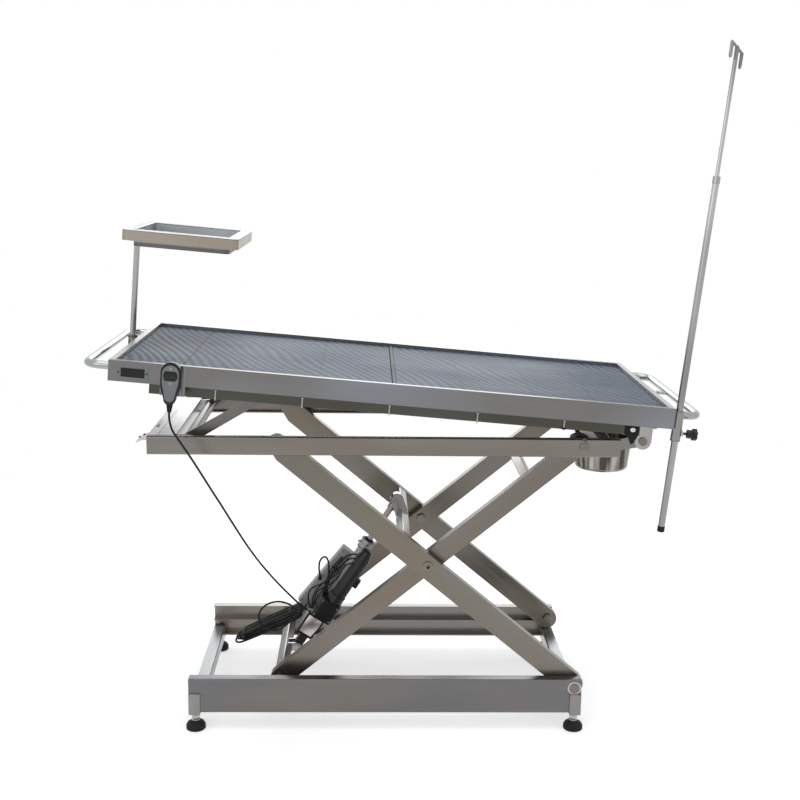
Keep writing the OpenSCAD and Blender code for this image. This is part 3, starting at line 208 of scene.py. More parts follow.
def brushing_effect():
    """Fine lines left by a brushing belt: their shade, roughness and relief. The vector is stretched along them."""
    group, given, made = effect(
        "brushing",
        [("Vector", VECTOR, None), ("Shade", FLOAT, 0.1), ("Roughness", FLOAT, 0.3), ("Depth", FLOAT, 0.2)],
        [("Shade", FLOAT), ("Roughness", FLOAT), ("Normal", VECTOR)],
    )
    fine = noise(group, given.outputs["Vector"], 1.0, 3.0, 0.6)
    coarse = noise(group, mapped(group, given.outputs["Vector"], (0.35, 0.12, 0.12)), 1.0, 2.0)
    lines = math_node(group, "ADD", math_node(group, "MULTIPLY", fine, 0.6), math_node(group, "MULTIPLY", coarse, 0.4))
    centred = math_node(group, "SUBTRACT", lines, 0.5)
    shade = math_node(group, "ADD", math_node(group, "MULTIPLY", centred, given.outputs["Shade"]), 1.0)
    rough = math_node(group, "MULTIPLY_ADD", centred, 0.35)
    group.links.new(given.outputs["Roughness"], rough.node.inputs[2])
    relief = add(group, "ShaderNodeBump")
    relief.inputs["Distance"].default_value = 0.00012
    group.links.new(given.outputs["Depth"], relief.inputs["Strength"])
    group.links.new(fine, relief.inputs["Height"])
    group.links.new(shade, made.inputs["Shade"])
    group.links.new(rough, made.inputs["Roughness"])
    group.links.new(relief.outputs[0], made.inputs["Normal"])
    return group


def handling_effect():
    """Soft cloudy marks of wiping and handling, as a shade round 1."""
    group, given, made = effect(
        "handling marks",
        [("Vector", VECTOR, None), ("Amount", FLOAT, 0.1)],
        [("Shade", FLOAT), ("Marks", FLOAT)],
    )
    clouds = noise(group, mapped(group, given.outputs["Vector"], (3.5, 3.5, 9)), 1.0, 4.0, 0.55)
    streaks = noise(group, mapped(group, given.outputs["Vector"], (2, 14, 60)), 1.0, 2.0)
    both = math_node(group, "MULTIPLY_ADD", clouds, 0.7)
    group.links.new(math_node(group, "MULTIPLY", streaks, 0.3), both.node.inputs[2])
    centred = math_node(group, "SUBTRACT", both, 0.5)
    shade = math_node(group, "ADD", math_node(group, "MULTIPLY", centred, given.outputs["Amount"]), 1.0)
    group.links.new(shade, made.inputs["Shade"])
    group.links.new(both, made.inputs["Marks"])
    return group


BRUSHING = brushing_effect()
HANDLING = handling_effect()


def finish_of(name):
    """A material with its own Principled BSDF, returned with its tree and the object's coordinates."""
    material = bpy.data.materials.new(name)
    material.use_nodes = True
    tree = material.node_tree
    place = add(tree, "ShaderNodeTexCoord").outputs["Object"]
    return material, tree, tree.nodes["Principled BSDF"], place


def set_values(shader, color=None, **values):
    if color is not None:
        shader.inputs["Base Color"].default_value = (*color, 1)
    for key, value in values.items():
        shader.inputs[key.replace("_", " ")].default_value = value


def placed(tree, group, **links):
    node = add(tree, "ShaderNodeGroup", node_tree=group)
    for key, value in links.items():
        if isinstance(value, (int, float)):
            node.inputs[key].default_value = value
        else:
            tree.links.new(value, node.inputs[key])
    return node


ALONG = {"X": (0, 0, 0), "Y": (0, 0, math.pi / 2), "Z": (0, -math.pi / 2, 0)}


def local(tree, place, matrix, along="X"):
    """Coordinates in a body's own place, turned so that X runs along the brushing."""
    inverse = (matrix @ Euler(ALONG[along]).to_matrix().to_4x4()).inverted()
    return mapped(tree, place, (1, 1, 1), inverse.to_euler(), inverse.translation)


def greyed(tree, tone, shade):
    """A tone multiplied by a grey shade."""
    grey = add(tree, "ShaderNodeCombineColor")
    for channel in grey.inputs:
        tree.links.new(shade, channel)
    return mix(tree, 1.0, tone, grey.outputs[0], "MULTIPLY")


def drifting(tree, own, scale, first, second, low=0.38, high=0.62, detail=1.0):
    """A tone that drifts slowly between two."""
    drift = noise(tree, mapped(tree, own, scale), 1.0, detail)
    return mix(tree, spread(tree, drift, low, high), first, second)


def worn_roughness(tree, shader, worn, low, high):
    """Roughness from low to high, by the handling marks."""
    tree.links.new(spread(tree, worn.outputs["Marks"], 0.3, 0.7, low, high), shader.inputs["Roughness"])


def wear(tree, shader, tone, own, amount, low, high):
    """Handling marks over a tone: they shade it and roughen it from low to high."""
    worn = placed(tree, HANDLING, Vector=own, Amount=amount)
    tree.links.new(greyed(tree, tone, worn.outputs["Shade"]), shader.inputs["Base Color"])
    worn_roughness(tree, shader, worn, low, high)


def brushed_steel(name, warm, cool, matrix=BASE, along="X", roughness=0.3, shade=0.22, marks=0.28, depth=0.1):
    """Stainless sheet brushed along one axis of a body. Its tone drifts slowly between two shades."""
    material, tree, shader, place = finish_of(name)
    own = local(tree, place, matrix, along)
    lines = placed(tree, BRUSHING, Vector=mapped(tree, own, (9, 900, 900)), Shade=shade, Roughness=roughness,
                   Depth=depth)
    worn = placed(tree, HANDLING, Vector=own, Amount=marks)
    tone = drifting(tree, own, (2.4, 6, 6), warm, cool)
    shades = math_node(tree, "MULTIPLY", lines.outputs["Shade"], worn.outputs["Shade"])
    tree.links.new(greyed(tree, tone, shades), shader.inputs["Base Color"])
    tree.links.new(lines.outputs["Roughness"], shader.inputs["Roughness"])
    tree.links.new(lines.outputs["Normal"], shader.inputs["Normal"])
    set_values(shader, Metallic=1.0)
    return material


def polished_steel(name, color, roughness=0.16):
    """Polished bar and tube with wiping marks."""
    material, tree, shader, place = finish_of(name)
    wear(tree, shader, color, mapped(tree, place, (2, 2, 2)), 0.25, roughness - 0.05, roughness + 0.08)
    set_values(shader, Metallic=1.0)
    return material


def dish_finish():
    """Satin dish, bright inside and along its rim, with painted shade on the pressed bottom under the frame."""
    material, tree, shader, place = finish_of("satin steel, dish")
    own = local(tree, place, TOP)
    split = add(tree, "ShaderNodeSeparateXYZ")
    tree.links.new(own, split.inputs[0])
    bright = drifting(tree, own, (9, 9, 9), (0.46, 0.48, 0.49), (0.56, 0.58, 0.6))
    # Painted shade: the dish turns dark below its floor, under the frame.
    tone = mix(tree, spread(tree, split.outputs["Z"], 0.344, 0.351), (0.14, 0.14, 0.135), bright)
    wear(tree, shader, tone, own, 0.3, 0.38, 0.48)
    set_values(shader, Metallic=1.0)
    return material


def reflection_banded_steel():
    """Deep-drawn bucket wall: bright, with painted reflections in broad dark and light bands down it."""
    material, tree, shader, place = finish_of("steel with painted reflection bands, bucket")
    own = local(tree, place, UPPER)
    # Painted reflection: broad dark and light bands run down the wall.
    tone = drifting(tree, own, (34, 34, 1.2), (0.07, 0.06, 0.05), (0.42, 0.39, 0.35), 0.4, 0.6, 2.0)
    fine = noise(tree, mapped(tree, own, (300, 300, 6)), 1.0, 2.0)
    tree.links.new(greyed(tree, tone, spread(tree, fine, 0.3, 0.7, 0.85, 1.0)), shader.inputs["Base Color"])
    worn_roughness(tree, shader, placed(tree, HANDLING, Vector=mapped(tree, place, (2, 2, 2)), Amount=0.4), 0.14, 0.26)
    set_values(shader, Metallic=1.0)
    return material


def weld_finish():
    """Welds: rough scales with straw and blue heat colours."""
    material, tree, shader, place = finish_of("weld metal")
    heat = noise(tree, place, 160.0, 2.0)
    tone = mix(tree, spread(tree, heat, 0.35, 0.65), (0.2, 0.15, 0.1), (0.16, 0.17, 0.21))
    tree.links.new(tone, shader.inputs["Base Color"])
    grain(tree, shader, place, 900.0, 3.0, 0.5)
    set_values(shader, Metallic=1.0, Roughness=0.42)
    return material


def moulded(name, color, roughness=0.5, pitting=900.0, depth=0.25, gloss=0.25):
    """Moulded plastic or rubber with a fine grain."""
    material, tree, shader, place = finish_of(name)
    wear(tree, shader, color, mapped(tree, place, (4, 4, 4)), 0.5, roughness - 0.08, roughness + 0.08)
    grain(tree, shader, place, pitting, 2.0, depth)
    set_values(shader, Specular_IOR_Level=gloss)
    return material


# Where the mat's strips meet along the table, and how dark each seam is
MAT_SEAMS_MM = ((-1093, 1.0), (-936, 0.3), (-779, 0.45), (-440, 0.4), (-273, 0.5), (-130, 0.5))


def mat_finish():
    """Blue-grey rubber with painted shade between its ribs, and darker in the seams between its strips."""
    material, tree, shader, place = finish_of("ribbed mat")
    own = local(tree, place, TOP)
    split = add(tree, "ShaderNodeSeparateXYZ")
    tree.links.new(own, split.inputs[0])
    # Painted shade: the troughs between the ribs take the darker tone and the crests the lighter one.
    rib_shade_mask = spread(tree, split.outputs["Z"], 0.091, 0.0919)
    low = drifting(tree, own, (2.2, 4.5, 1), (0.045, 0.062, 0.088), (0.06, 0.077, 0.104), 0.35, 0.65, 2.0)
    high = drifting(tree, own, (7, 55, 1), (0.074, 0.099, 0.138), (0.108, 0.138, 0.186), 0.35, 0.65, 3.0)
    tone = mix(tree, rib_shade_mask, low, high)
    for x, dark in MAT_SEAMS_MM:
        away = math_node(tree, "ABSOLUTE", math_node(tree, "SUBTRACT", split.outputs["X"], x / 1000))
        line = spread(tree, away, 0.0012, 0.0028, dark, 0.0)
        tone = mix(tree, line, tone, (0.03, 0.036, 0.045))
    wear(tree, shader, tone, own, 0.4, 0.42, 0.56)
    grain(tree, shader, place, 700.0, 2.0, 0.3)
    set_values(shader, Specular_IOR_Level=0.12)
    return material


rail_steel = brushed_steel("brushed steel, base rails", (0.175, 0.162, 0.15), (0.15, 0.147, 0.152))
# Painted light: the rear rail's steel is a lighter copy of the front rail's, making up for the shade inside its
# channel.
far_rail_steel = brushed_steel("brushed steel painted lighter, rear base rail", (0.27, 0.235, 0.195), (0.26, 0.25, 0.235))
# Painted light: a lighter copy of the brushed steel, for the light on the cross members' upward faces.
cross_steel = brushed_steel("steel painted bright, cross members", (0.26, 0.27, 0.275), (0.33, 0.34, 0.35), BASE, "Y")
tube_steel = brushed_steel("brushed steel, cross tubes", (0.36, 0.35, 0.33), (0.42, 0.42, 0.42), BASE, "Y")
upright_steel = brushed_steel("brushed steel, upright", (0.24, 0.23, 0.22), (0.3, 0.3, 0.3), BASE, "Z")
upper_steel = brushed_steel("brushed steel, upper rails", (0.2, 0.18, 0.155), (0.225, 0.215, 0.205), UPPER)
# Painted light: a lighter copy of the brushed steel, for the light on the cross plate's upward face.
plate_steel = brushed_steel("steel painted bright, cross plate", (0.5, 0.51, 0.51), (0.6, 0.61, 0.61), UPPER, "Y")
top_steel = brushed_steel("brushed steel, tabletop", (0.185, 0.18, 0.175), (0.23, 0.245, 0.27), TOP)
# Painted light: a lighter copy of the brushed steel, for the light on the tabletop ends' upward faces.
top_end_steel = brushed_steel("steel painted bright, tabletop ends", (0.42, 0.42, 0.41), (0.5, 0.5, 0.5), TOP, "Y")
pan_steel = brushed_steel("brushed steel, pan", (0.2, 0.195, 0.19), (0.25, 0.25, 0.255), TOP)
outer_arm_steel = brushed_steel("brushed steel, outer arms", (0.185, 0.165, 0.135), (0.18, 0.17, 0.155), OUTER_ARMS)
inner_arm_steel = brushed_steel("brushed steel, inner arms", (0.18, 0.155, 0.13), (0.185, 0.17, 0.155), INNER_ARMS)
# Painted shade: the subframe channels' steel is a darker copy, for the shade under the tabletop.
dark_steel = brushed_steel("brushed steel painted dark, subframe", (0.075, 0.072, 0.06), (0.09, 0.092, 0.085), TOP)
prop_steel = brushed_steel("brushed steel, prop", (0.15, 0.14, 0.12), (0.17, 0.165, 0.16), PROP)
bucket_steel = reflection_banded_steel()
tray_steel = brushed_steel("brushed steel, tray frame", (0.3, 0.25, 0.2), (0.33, 0.3, 0.26), TOP)
dish_steel = dish_finish()
post_steel = polished_steel("polished post", (0.38, 0.38, 0.37), 0.2)
stand_steel = brushed_steel("drawn tube, drip stand", (0.2, 0.195, 0.195), (0.46, 0.46, 0.46), STAND, "Z", 0.22, 0.5,
                            0.2, 0.05)
handle_steel = polished_steel("polished handles", (0.34, 0.36, 0.37), 0.14)
divider_steel = polished_steel("satin divider", (0.035, 0.038, 0.042), 0.5)
bolt_steel = polished_steel("bolt steel", (0.19, 0.175, 0.155), 0.28)
bright_bolt = polished_steel("bright bolt", (0.62, 0.62, 0.61), 0.3)
stud_steel = polished_steel("zinc-plated stud", (0.42, 0.42, 0.4), 0.3)
cover_steel = polished_steel("bright cover plate", (0.72, 0.67, 0.64), 0.28)
rod_steel = polished_steel("ground rod", (0.26, 0.24, 0.24), 0.14)
weld_metal = weld_finish()
tube_alloy = brushed_steel("anodized tube", (0.16, 0.16, 0.16), (0.3, 0.3, 0.3), ACTUATOR, "Z", 0.35, 0.12, 0.2, 0.1)
black_rubber = moulded("black rubber", (0.01, 0.01, 0.01), 0.6)
cord_rubber = moulded("cord sheath", (0.006, 0.006, 0.0065), 0.42, 1500, 0.1)
black_plastic = moulded("black moulding", (0.009, 0.009, 0.01), 0.34, 1400, 0.2, 0.35)
black_trim = moulded("black trim", (0.005, 0.005, 0.006), 0.5, 1200, 0.15)
gear_plastic = moulded("gear housing moulding", (0.009, 0.0095, 0.009), 0.34, 900, 0.3, 0.4)
nylon = moulded("white nylon", (0.6, 0.6, 0.57), 0.45, 900, 0.1, 0.5)
box_plastic = moulded("grey box moulding", (0.42, 0.42, 0.41), 0.45, 900, 0.15, 0.5)
key_plastic = moulded("grey key face", (0.2, 0.21, 0.215), 0.42, 900, 0.1, 0.4)
mark_plastic = moulded("pale key marks", (0.5, 0.5, 0.5), 0.5, 900, 0.05)
display_plastic = moulded("dark window", (0.022, 0.022, 0.018), 0.3, 500, 0.02, 0.2)
mat_material = mat_finish()

NODE_FINISH = {
    rail_steel: ["base_rail_front", "bucket_runners"],
    far_rail_steel: ["base_rail_rear"],
    cross_steel: ["base_cross_members"],
    tube_steel: ["outer_cross_tube", "inner_cross_upper", "inner_cross_lower", "hinge_cross"],
    upright_steel: ["corner_brackets", "iv_holder", "tray_socket", "handset_holder"],
    upper_steel: ["upper_rail_front", "upper_rail_rear", "upper_cross_right"],
    top_steel: ["top_rail_front", "top_rail_rear"],
    pan_steel: ["top_pan"],
    top_end_steel: ["top_end_left", "top_end_right"],
    outer_arm_steel: ["outer_arm_front", "outer_arm_rear"],
    inner_arm_steel: ["inner_arm_front", "inner_arm_rear"],
    dark_steel: ["subframe_channels"],
    prop_steel: ["tilt_prop"],
    plate_steel: ["upper_cross_left"],
    bucket_steel: ["bucket"],
    tray_steel: ["tray_frame"],
    dish_steel: ["tray_dish"],
    post_steel: ["tray_post"],
    stand_steel: ["iv_tube", "iv_rod"],
    handle_steel: ["handle_left", "handle_right"],
    divider_steel: ["centre_divider"],
    bolt_steel: ["base_pivot_bolts", "centre_pivot_bolts", "frame_pins"],
    rod_steel: ["actuator_rod"],
    tube_alloy: ["actuator_tube"],
    gear_plastic: ["actuator_gearbox", "actuator_motor"],
    black_plastic: ["handset_shell", "handset_rocker", "iv_knob"],
    nylon: ["upper_rollers", "lower_rollers", "prop_track"],
    box_plastic: ["control_box"],
    display_plastic: ["display_window"],
    stud_steel: ["foot_front_left", "foot_front_right", "foot_rear_left", "foot_rear_right"],
    mat_material: ["mat_halves"],
    cord_rubber: ["handset_cord_upper", "handset_cord_lower", "cable_hank", "actuator_lead"],
}
for material, names in NODE_FINISH.items():
    for name in names:
        slots = NODES[name].data.materials
        slots.clear()
        slots.append(material)


# Pieces


def new_piece(name, shape, material, body, place=None):
    """An object from a bmesh or a finished mesh, at the origin, riding on its body if it has just one."""
    if isinstance(shape, bmesh.types.BMesh):
        mesh = bpy.data.meshes.new(name)
        if place is not None:
            bmesh.ops.transform(shape, matrix=place, verts=shape.verts)
        bmesh.ops.recalc_face_normals(shape, faces=shape.faces)
        shape.to_mesh(mesh)
        shape.free()
    else:
        mesh = shape
    mesh.materials.append(material)
    mesh.shade_smooth()
    mesh.set_sharp_from_angle(angle=math.radians(35))
    piece = bpy.data.objects.new(name, mesh)
    bpy.context.scene.collection.objects.link(piece)
    if body:
        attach(piece, body)
    return piece


def round_tube(name, points, diameter, sides=12, taper=1.0, closed=False):
    """A capped mesh tube along points in metres, its last radius a share of the first."""
    line = bpy.data.curves.new(name, "CURVE")
    line.dimensions = "3D"
    line.bevel_depth = diameter / 2
    line.bevel_resolution = (sides - 4) // 2
    line.use_fill_caps = not closed
    spline = line.splines.new("POLY")
    spline.points.add(len(points) - 1)
    spline.use_cyclic_u = closed
    for i, (point, co) in enumerate(zip(spline.points, points)):
        point.co = (*co, 1)
        point.radius = 1 + (taper - 1) * i / (len(points) - 1)
    holder = bpy.data.objects.new(name, line)
    bpy.context.scene.collection.objects.link(holder)
    bpy.context.view_layer.update()
    mesh = bpy.data.meshes.new_from_object(holder.evaluated_get(bpy.context.evaluated_depsgraph_get()))
    bpy.data.objects.remove(holder)
    bpy.data.curves.remove(line)
    mesh.name = name
    return mesh


def smooth_route(points, place=BASE, steps=8):
    """The source's own smooth line through its points in millimetres, given in metres."""
    p = [place @ (Vector(q) / 1000) for q in points]
    line = []
    for i in range(len(p) - 1):
        a, b, c, d = p[max(i - 1, 0)], p[i], p[i + 1], p[min(i + 2, len(p) - 1)]
        for k in range(steps):
            t = k / steps
            line.append(0.5 * (2 * b + (c - a) * t + (2 * a - 5 * b + 4 * c - d) * t * t
                               + (3 * b - a - 3 * c + d) * t * t * t))
    return line + [p[-1]]


def laid_cord(name, line, diameter, body):
    """A limp cord along a line, both its ends going into the object."""
    cord = new_piece(name, round_tube(name, line, diameter), cord_rubber, body)
    return cord


def loop_of_wire(name, points, diameter, material, body, place):
    """A closed loop of round wire through points in millimetres of a body's own place."""
    line = [place @ (Vector(point) / 1000) for point in points]
    return new_piece(name, round_tube(name, line, diameter, closed=True), material, body)


CORD_UPPER_MM = [
    (-498, -326, 829), (-499.4, -326, 812), (-498, -326, 795), (-493, -327, 777), (-482, -327, 758),
    (-468, -326, 736), (-452, -322, 709), (-436, -315, 679), (-421, -306, 649), (-405, -294, 616)]
CORD_LOWER_MM = [
    (-405, -294, 616), (-392, -281, 588), (-379, -264, 557), (-366, -245, 525), (-353, -225, 493),
    (-339, -202, 459), (-324, -178, 425), (-308, -152, 391), (-290, -127, 357), (-272, -105, 326),
    (-254, -88, 299), (-237, -76, 276), (-222, -68, 258)]


def handset_cord():
    for name, route, bodies in (
            ("handset_cord_upper", CORD_UPPER_MM, ("tabletop", "upper_frame")),
            ("handset_cord_lower", CORD_LOWER_MM, ("upper_frame", "inner_arms"))):
        line = smooth_route(route)
        cord = laid_cord(name + "_sheath", line, CORD, None)
        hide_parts(name)
        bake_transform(cord)


HANK_HALF_L_MM, HANK_HALF_W_MM, HANK_LOOPS, HANK_PITCH_MM = 90, 10, 8, 6.8
HANK_IN_MM = [(-222, -68, 258), (-214, -62, 246), (-211, -54, 236)]
HANK_OUT_MM = [(-214, 11.5, 217), (-211, 13.5, 213.4), (-205, 14, 209.3)]


def hank_point(t):
    """A point of the hank after t turns. The turns differ a little in length and width."""
    f = math.tau * t
    grow = 1 + 0.05 * math.sin(math.radians(137 * t))
    u = HANK_HALF_L_MM * (grow * math.cos(f) - grow + 1)
    wide = HANK_HALF_W_MM * (1 + 0.15 * math.sin(math.radians(101 * t)) + 0.15 * math.cos(f))
    w = wide * math.sin(f) / math.sqrt(math.sin(f) ** 2 + 0.15 * math.cos(f) ** 2)
    c, s = math.cos(HANK_LEAN), math.sin(HANK_LEAN)
    return HANK_AT_MM + Vector((u * c - w * s, HANK_PITCH_MM * (t - 1), u * s + w * c))


def cable_hank():
    loops = [hank_point(k / 24) for k in range(1, 24 * HANK_LOOPS)]
    line = smooth_route([*HANK_IN_MM, *loops, *HANK_OUT_MM], BASE, 3)
    hank = laid_cord("cable_hank_sheath", line, CORD, "actuator")
    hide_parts("cable_hank")


LEAD_MM = [
    (-22, -16, 166.3), (-22.5, -17, 176), (-28, -15, 192), (-38, -10, 212), (-49, -4, 230), (-60, 0, 242),
    (-69, 4, 244), (-74, 8, 236), (-73, 11, 222), (-66, 13, 208), (-57, 14, 196), (-49, 15, 186),
    (-46, 19, 180), (-46, 25.6, 180)]


def actuator_lead():
    line = smooth_route(LEAD_MM, ACTUATOR)
    lead = laid_cord("actuator_lead_sheath", line, CORD, "actuator")
    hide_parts("actuator_lead")
    # Tapered boot over the lead's first stretch
    new_piece("lead_boot", round_tube("lead_boot", line[:13], 0.0094, 16, 0.62), black_trim, "actuator")


handset_cord()
cable_hank()
actuator_lead()


# Shapes


def turned(profile, steps=24, ring=False):
    """A closed solid spun about Z from (radius, height) points. A ring's profile is a closed loop off the axis."""
    bm = bmesh.new()
    verts = [bm.verts.new((radius / 1000, 0, height / 1000)) for radius, height in profile]
    ends = verts[1:] + verts[:1] if ring else verts[1:]
    edges = [bm.edges.new(pair) for pair in zip(verts, ends)]
    bmesh.ops.spin(bm, geom=verts + edges, cent=(0, 0, 0), axis=(0, 0, 1), angle=math.tau, steps=steps,
                   use_merge=True)
    bmesh.ops.remove_doubles(bm, verts=bm.verts, dist=1e-6)
    return bm


def hoop(radius, wire, steps=48):
    """A ring of round wire about Z."""
    bm = bmesh.new()
    place = at_mm(radius, 0, 0) @ Matrix.Rotation(math.pi / 2, 4, "X")
    bmesh.ops.create_circle(bm, segments=12, radius=wire / 2000, matrix=place)
    bmesh.ops.spin(bm, geom=bm.verts[:] + bm.edges[:], cent=(0, 0, 0), axis=(0, 0, 1), angle=math.tau, steps=steps,
                   use_merge=True)
    bmesh.ops.remove_doubles(bm, verts=bm.verts, dist=1e-6)
    return bm


def bar(low, high, bevel=0.6):
    """A straight bar between two corners, its edges eased."""
    bm = bmesh.new()
    low, high = Vector(low) / 1000, Vector(high) / 1000
    size = Matrix.Diagonal((*(high - low), 1))
    bmesh.ops.create_cube(bm, size=1, matrix=Matrix.Translation((low + high) / 2) @ size)
    bmesh.ops.bevel(bm, geom=bm.edges[:], offset=bevel / 1000, segments=2, profile=0.5, affect="EDGES", material=-1)
    return bm


def plate(outline, thick, hole=None, bevel=0.3):
    """A flat plate with an outline in X and Z, from y = 0 to -thick, its front edge eased."""
    bm = bmesh.new()
    edges = []
    for loop in (outline, hole):
        if loop:
            verts = [bm.verts.new((x / 1000, 0, z / 1000)) for x, z in loop]
            edges += [bm.edges.new(pair) for pair in zip(verts, verts[1:] + verts[:1])]
    bmesh.ops.triangle_fill(bm, edges=edges, use_beauty=True)
    grown = bmesh.ops.extrude_face_region(bm, geom=bm.faces[:])["geom"]
    front = {v for v in grown if isinstance(v, bmesh.types.BMVert)}
    bmesh.ops.translate(bm, verts=list(front), vec=(0, -thick / 1000, 0))
    bmesh.ops.dissolve_limit(bm, angle_limit=0.01, verts=bm.verts[:], edges=bm.edges[:])
    rim = [e for e in bm.edges if all(v.co.y < -0.999e-3 * thick for v in e.verts)]
    bmesh.ops.bevel(bm, geom=rim, offset=bevel / 1000, segments=2, profile=0.5, affect="EDGES", material=-1)
    return bm


def round_rect(x0, x1, z0, z1, radius, steps=5):
    """Outline of a rectangle with round corners."""
    centres = ((x1 - radius, z1 - radius, 0), (x0 + radius, z1 - radius, 90), (x0 + radius, z0 + radius, 180),
               (x1 - radius, z0 + radius, 270))
    turns = [(cx, cz, math.radians(start + 90 * k / steps)) for cx, cz, start in centres for k in range(steps + 1)]
    return [(cx + radius * math.cos(a), cz + radius * math.sin(a)) for cx, cz, a in turns]


def oval(cx, cz, a, b, steps=28):
    """Outline of an oval."""
    return [(cx + a * math.cos(math.tau * k / steps), cz + b * math.sin(math.tau * k / steps)) for k in range(steps)]


def hex_nut(across, high):
    """A nut about Z, its edges eased."""
    bm = bmesh.new()
    radius = across / 2000 / math.cos(math.pi / 6)
    bmesh.ops.create_cone(bm, cap_ends=True, segments=6, radius1=radius, radius2=radius, depth=high / 1000,
                          matrix=at_mm(0, 0, high / 2))
    bmesh.ops.bevel(bm, geom=bm.edges[:], offset=0.0006, segments=2, profile=0.5, affect="EDGES", material=-1)
    return bm


def screw_head(radius, high):
    """A domed screw head with a round socket."""
    socket = radius * 0.42
    return turned([(0, high * 0.35), (socket, high * 0.35), (socket, high * 0.95), (radius * 0.7, high * 0.8),
                   (radius, high * 0.25), (radius, 0), (0, 0)], 16)


BEAD_W_MM, BEAD_RIPPLE_MM = 3.0, 2.2


def bead(length):
    """A weld bead along Z with its ripples."""
    count = max(4, round(length / BEAD_RIPPLE_MM))
    rings = [(BEAD_W_MM / 2 * (0.8 + 0.2 * (i % 2)), length * i / count) for i in range(count + 1)]
    return turned([(0, 0), *rings, (0, length)], 8)


def line_up(start, end):
    """Places Z from a start towards an end, in millimetres."""
    way = Vector(end) - Vector(start)
    return at_mm(*start) @ way.to_track_quat("Z", "Y").to_matrix().to_4x4()


def facing(direction, x, y, z):
    """Places Z along a direction at a point in millimetres."""
    return at_mm(x, y, z) @ Vector(direction).to_track_quat("Z", "Y").to_matrix().to_4x4()


def gather(*parts):
    """One shape of several, each given with its places."""
    whole = bmesh.new()
    for shape, *places in parts:
        mesh = bpy.data.meshes.new("shape")
        shape.to_mesh(mesh)
        shape.free()
        for place in places:
            old = len(whole.verts)
            whole.from_mesh(mesh)
            whole.verts.ensure_lookup_table()
            bmesh.ops.transform(whole, matrix=place, verts=whole.verts[old:])
        bpy.data.meshes.remove(mesh)
    return whole


def beads(*ends):
    """Weld beads between pairs of points."""
    return gather(*[(bead((Vector(b) - Vector(a)).length), line_up(a, b)) for a, b in ends])


UNMOVED = Matrix.Identity(4)
FRONT = (0, -1, 0)


def together(*shapes):
    """One shape of several that are already in their places."""
    return gather(*[(shape, UNMOVED) for shape in shapes])


# Feet: rubber pad, threaded stud and lock nut


def feet():
    pad = [(0, 0), (22.5, 0), (24, 1.5), (24, 7), (23.2, 7.8), (23.2, 8.6), (24, 9.4), (24, 10.6), (22.6, 13),
           (20.6, 16.4), (16, 19.6), (12, 21.6), (11, 23), (10.4, 24), (0, 24)]
    thread = [(6.0 if i % 2 else 5.3, 23 + i * 0.9) for i in range(56)]
    washer = [(0, 0), (10.5, 0), (10.5, 1.6), (0, 1.6)]
    for name, body, sx, sy in (("front_left", "foot_fl", -1, -1), ("front_right", "foot_fr", 1, -1),
                               ("rear_left", "foot_rl", -1, 1), ("rear_right", "foot_rr", 1, 1)):
        place = BASE @ at_mm(sx * FOOT_X_MM, sy * FOOT_Y_MM, 0)
        rubber = new_piece("foot_pad_" + name, turned(pad, 40), black_rubber, body, place)
        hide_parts("foot_" + name)
        stud = gather((turned([(0, 22.5), *thread, (4.6, 73.4), (0, 73.4)], 20), UNMOVED),
                      (hex_nut(19, 8), at_mm(0, 0, 29.7)), (turned(washer), at_mm(0, 0, 24)))
        new_piece("foot_stud_" + name, stud, stud_steel, body, place)


# Mat: two ribbed halves laid in the pan


def rib_height(x, y):
    """Height of the mat's wavy ribs at a place in millimetres, from 0 to 1."""
    wander = 11 * math.sin(x / 97 + 1.3 * math.sin(y / 83)) + 6 * math.sin(x / 41 + y / 59)
    return 0.5 + 0.5 * math.sin(math.tau * (x + 0.42 * y + wander) / 24)


def ribbed_half(x0, x1):
    """One half of the mat from x0 to x1: its face sinks between the ribs and rounds off at its rim."""
    low, high, reach = TOP_UP_MM - 13.9, TOP_UP_MM - 8, TOP_W_MM / 2 - MAT_RIM_MM
    bm = bmesh.new()
    bmesh.ops.create_grid(bm, x_segments=200, y_segments=120, size=0.5)
    for v in bm.verts:
        x, y = x0 + (v.co.x + 0.5) * (x1 - x0), v.co.y * 2 * reach
        rim = min(x - x0, x1 - x, reach - abs(y))
        drop = 1.1 * (1 - rib_height(x, y)) * min(1, rim / 6) + 1.6 * max(0, 1 - rim / 2.6) ** 2
        v.co = Vector((x, y, high - drop)) / 1000
    grown = bmesh.ops.extrude_edge_only(bm, edges=[e for e in bm.edges if e.is_boundary])["geom"]
    for v in grown:
        if isinstance(v, bmesh.types.BMVert):
            v.co.z = low / 1000
    bmesh.ops.holes_fill(bm, edges=[e for e in bm.edges if e.is_boundary], sides=0)
    return bm


def ribbed_mat():
    middle = TOP_LEFT_MM + TOP_L_MM / 2
    halves = together(ribbed_half(TOP_LEFT_MM + MAT_RIM_MM, middle - MAT_HALF_GAP_MM),
                      ribbed_half(middle + MAT_HALF_GAP_MM, TOP_OVER_MM - MAT_RIM_MM))
    mat = new_piece("ribbed_mat", halves, mat_material, "tabletop", TOP)
    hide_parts("mat_halves")


# Base and scissor lift


def base_details():
    front = -BASE_HALF_W_MM - 0.8
    edges = beads(((-BASE_HALF_L_MM, front, 97.2), (-455, front, 97.2)), ((-455.2, front, 47), (-455.2, front, 97)))
    corners = [BASE @ Matrix.Diagonal((sx, sy, 1, 1)) for sx in (1, -1) for sy in (1, -1)]
    new_piece("bracket_welds", gather((edges, *corners)), weld_metal, "base")
    washer = turned([(8.3, 0), (17, 0), (17, 1.2), (16.2, 1.8), (8.3, 1.8)], 32, True)
    places = [BASE @ facing((0, s, 0), PIVOT_X_MM, s * BASE_HALF_W_MM, PIVOT_Z_MM) for s in (-1, 1)]
    new_piece("pivot_washers", gather((washer, *places)), stud_steel, "base")


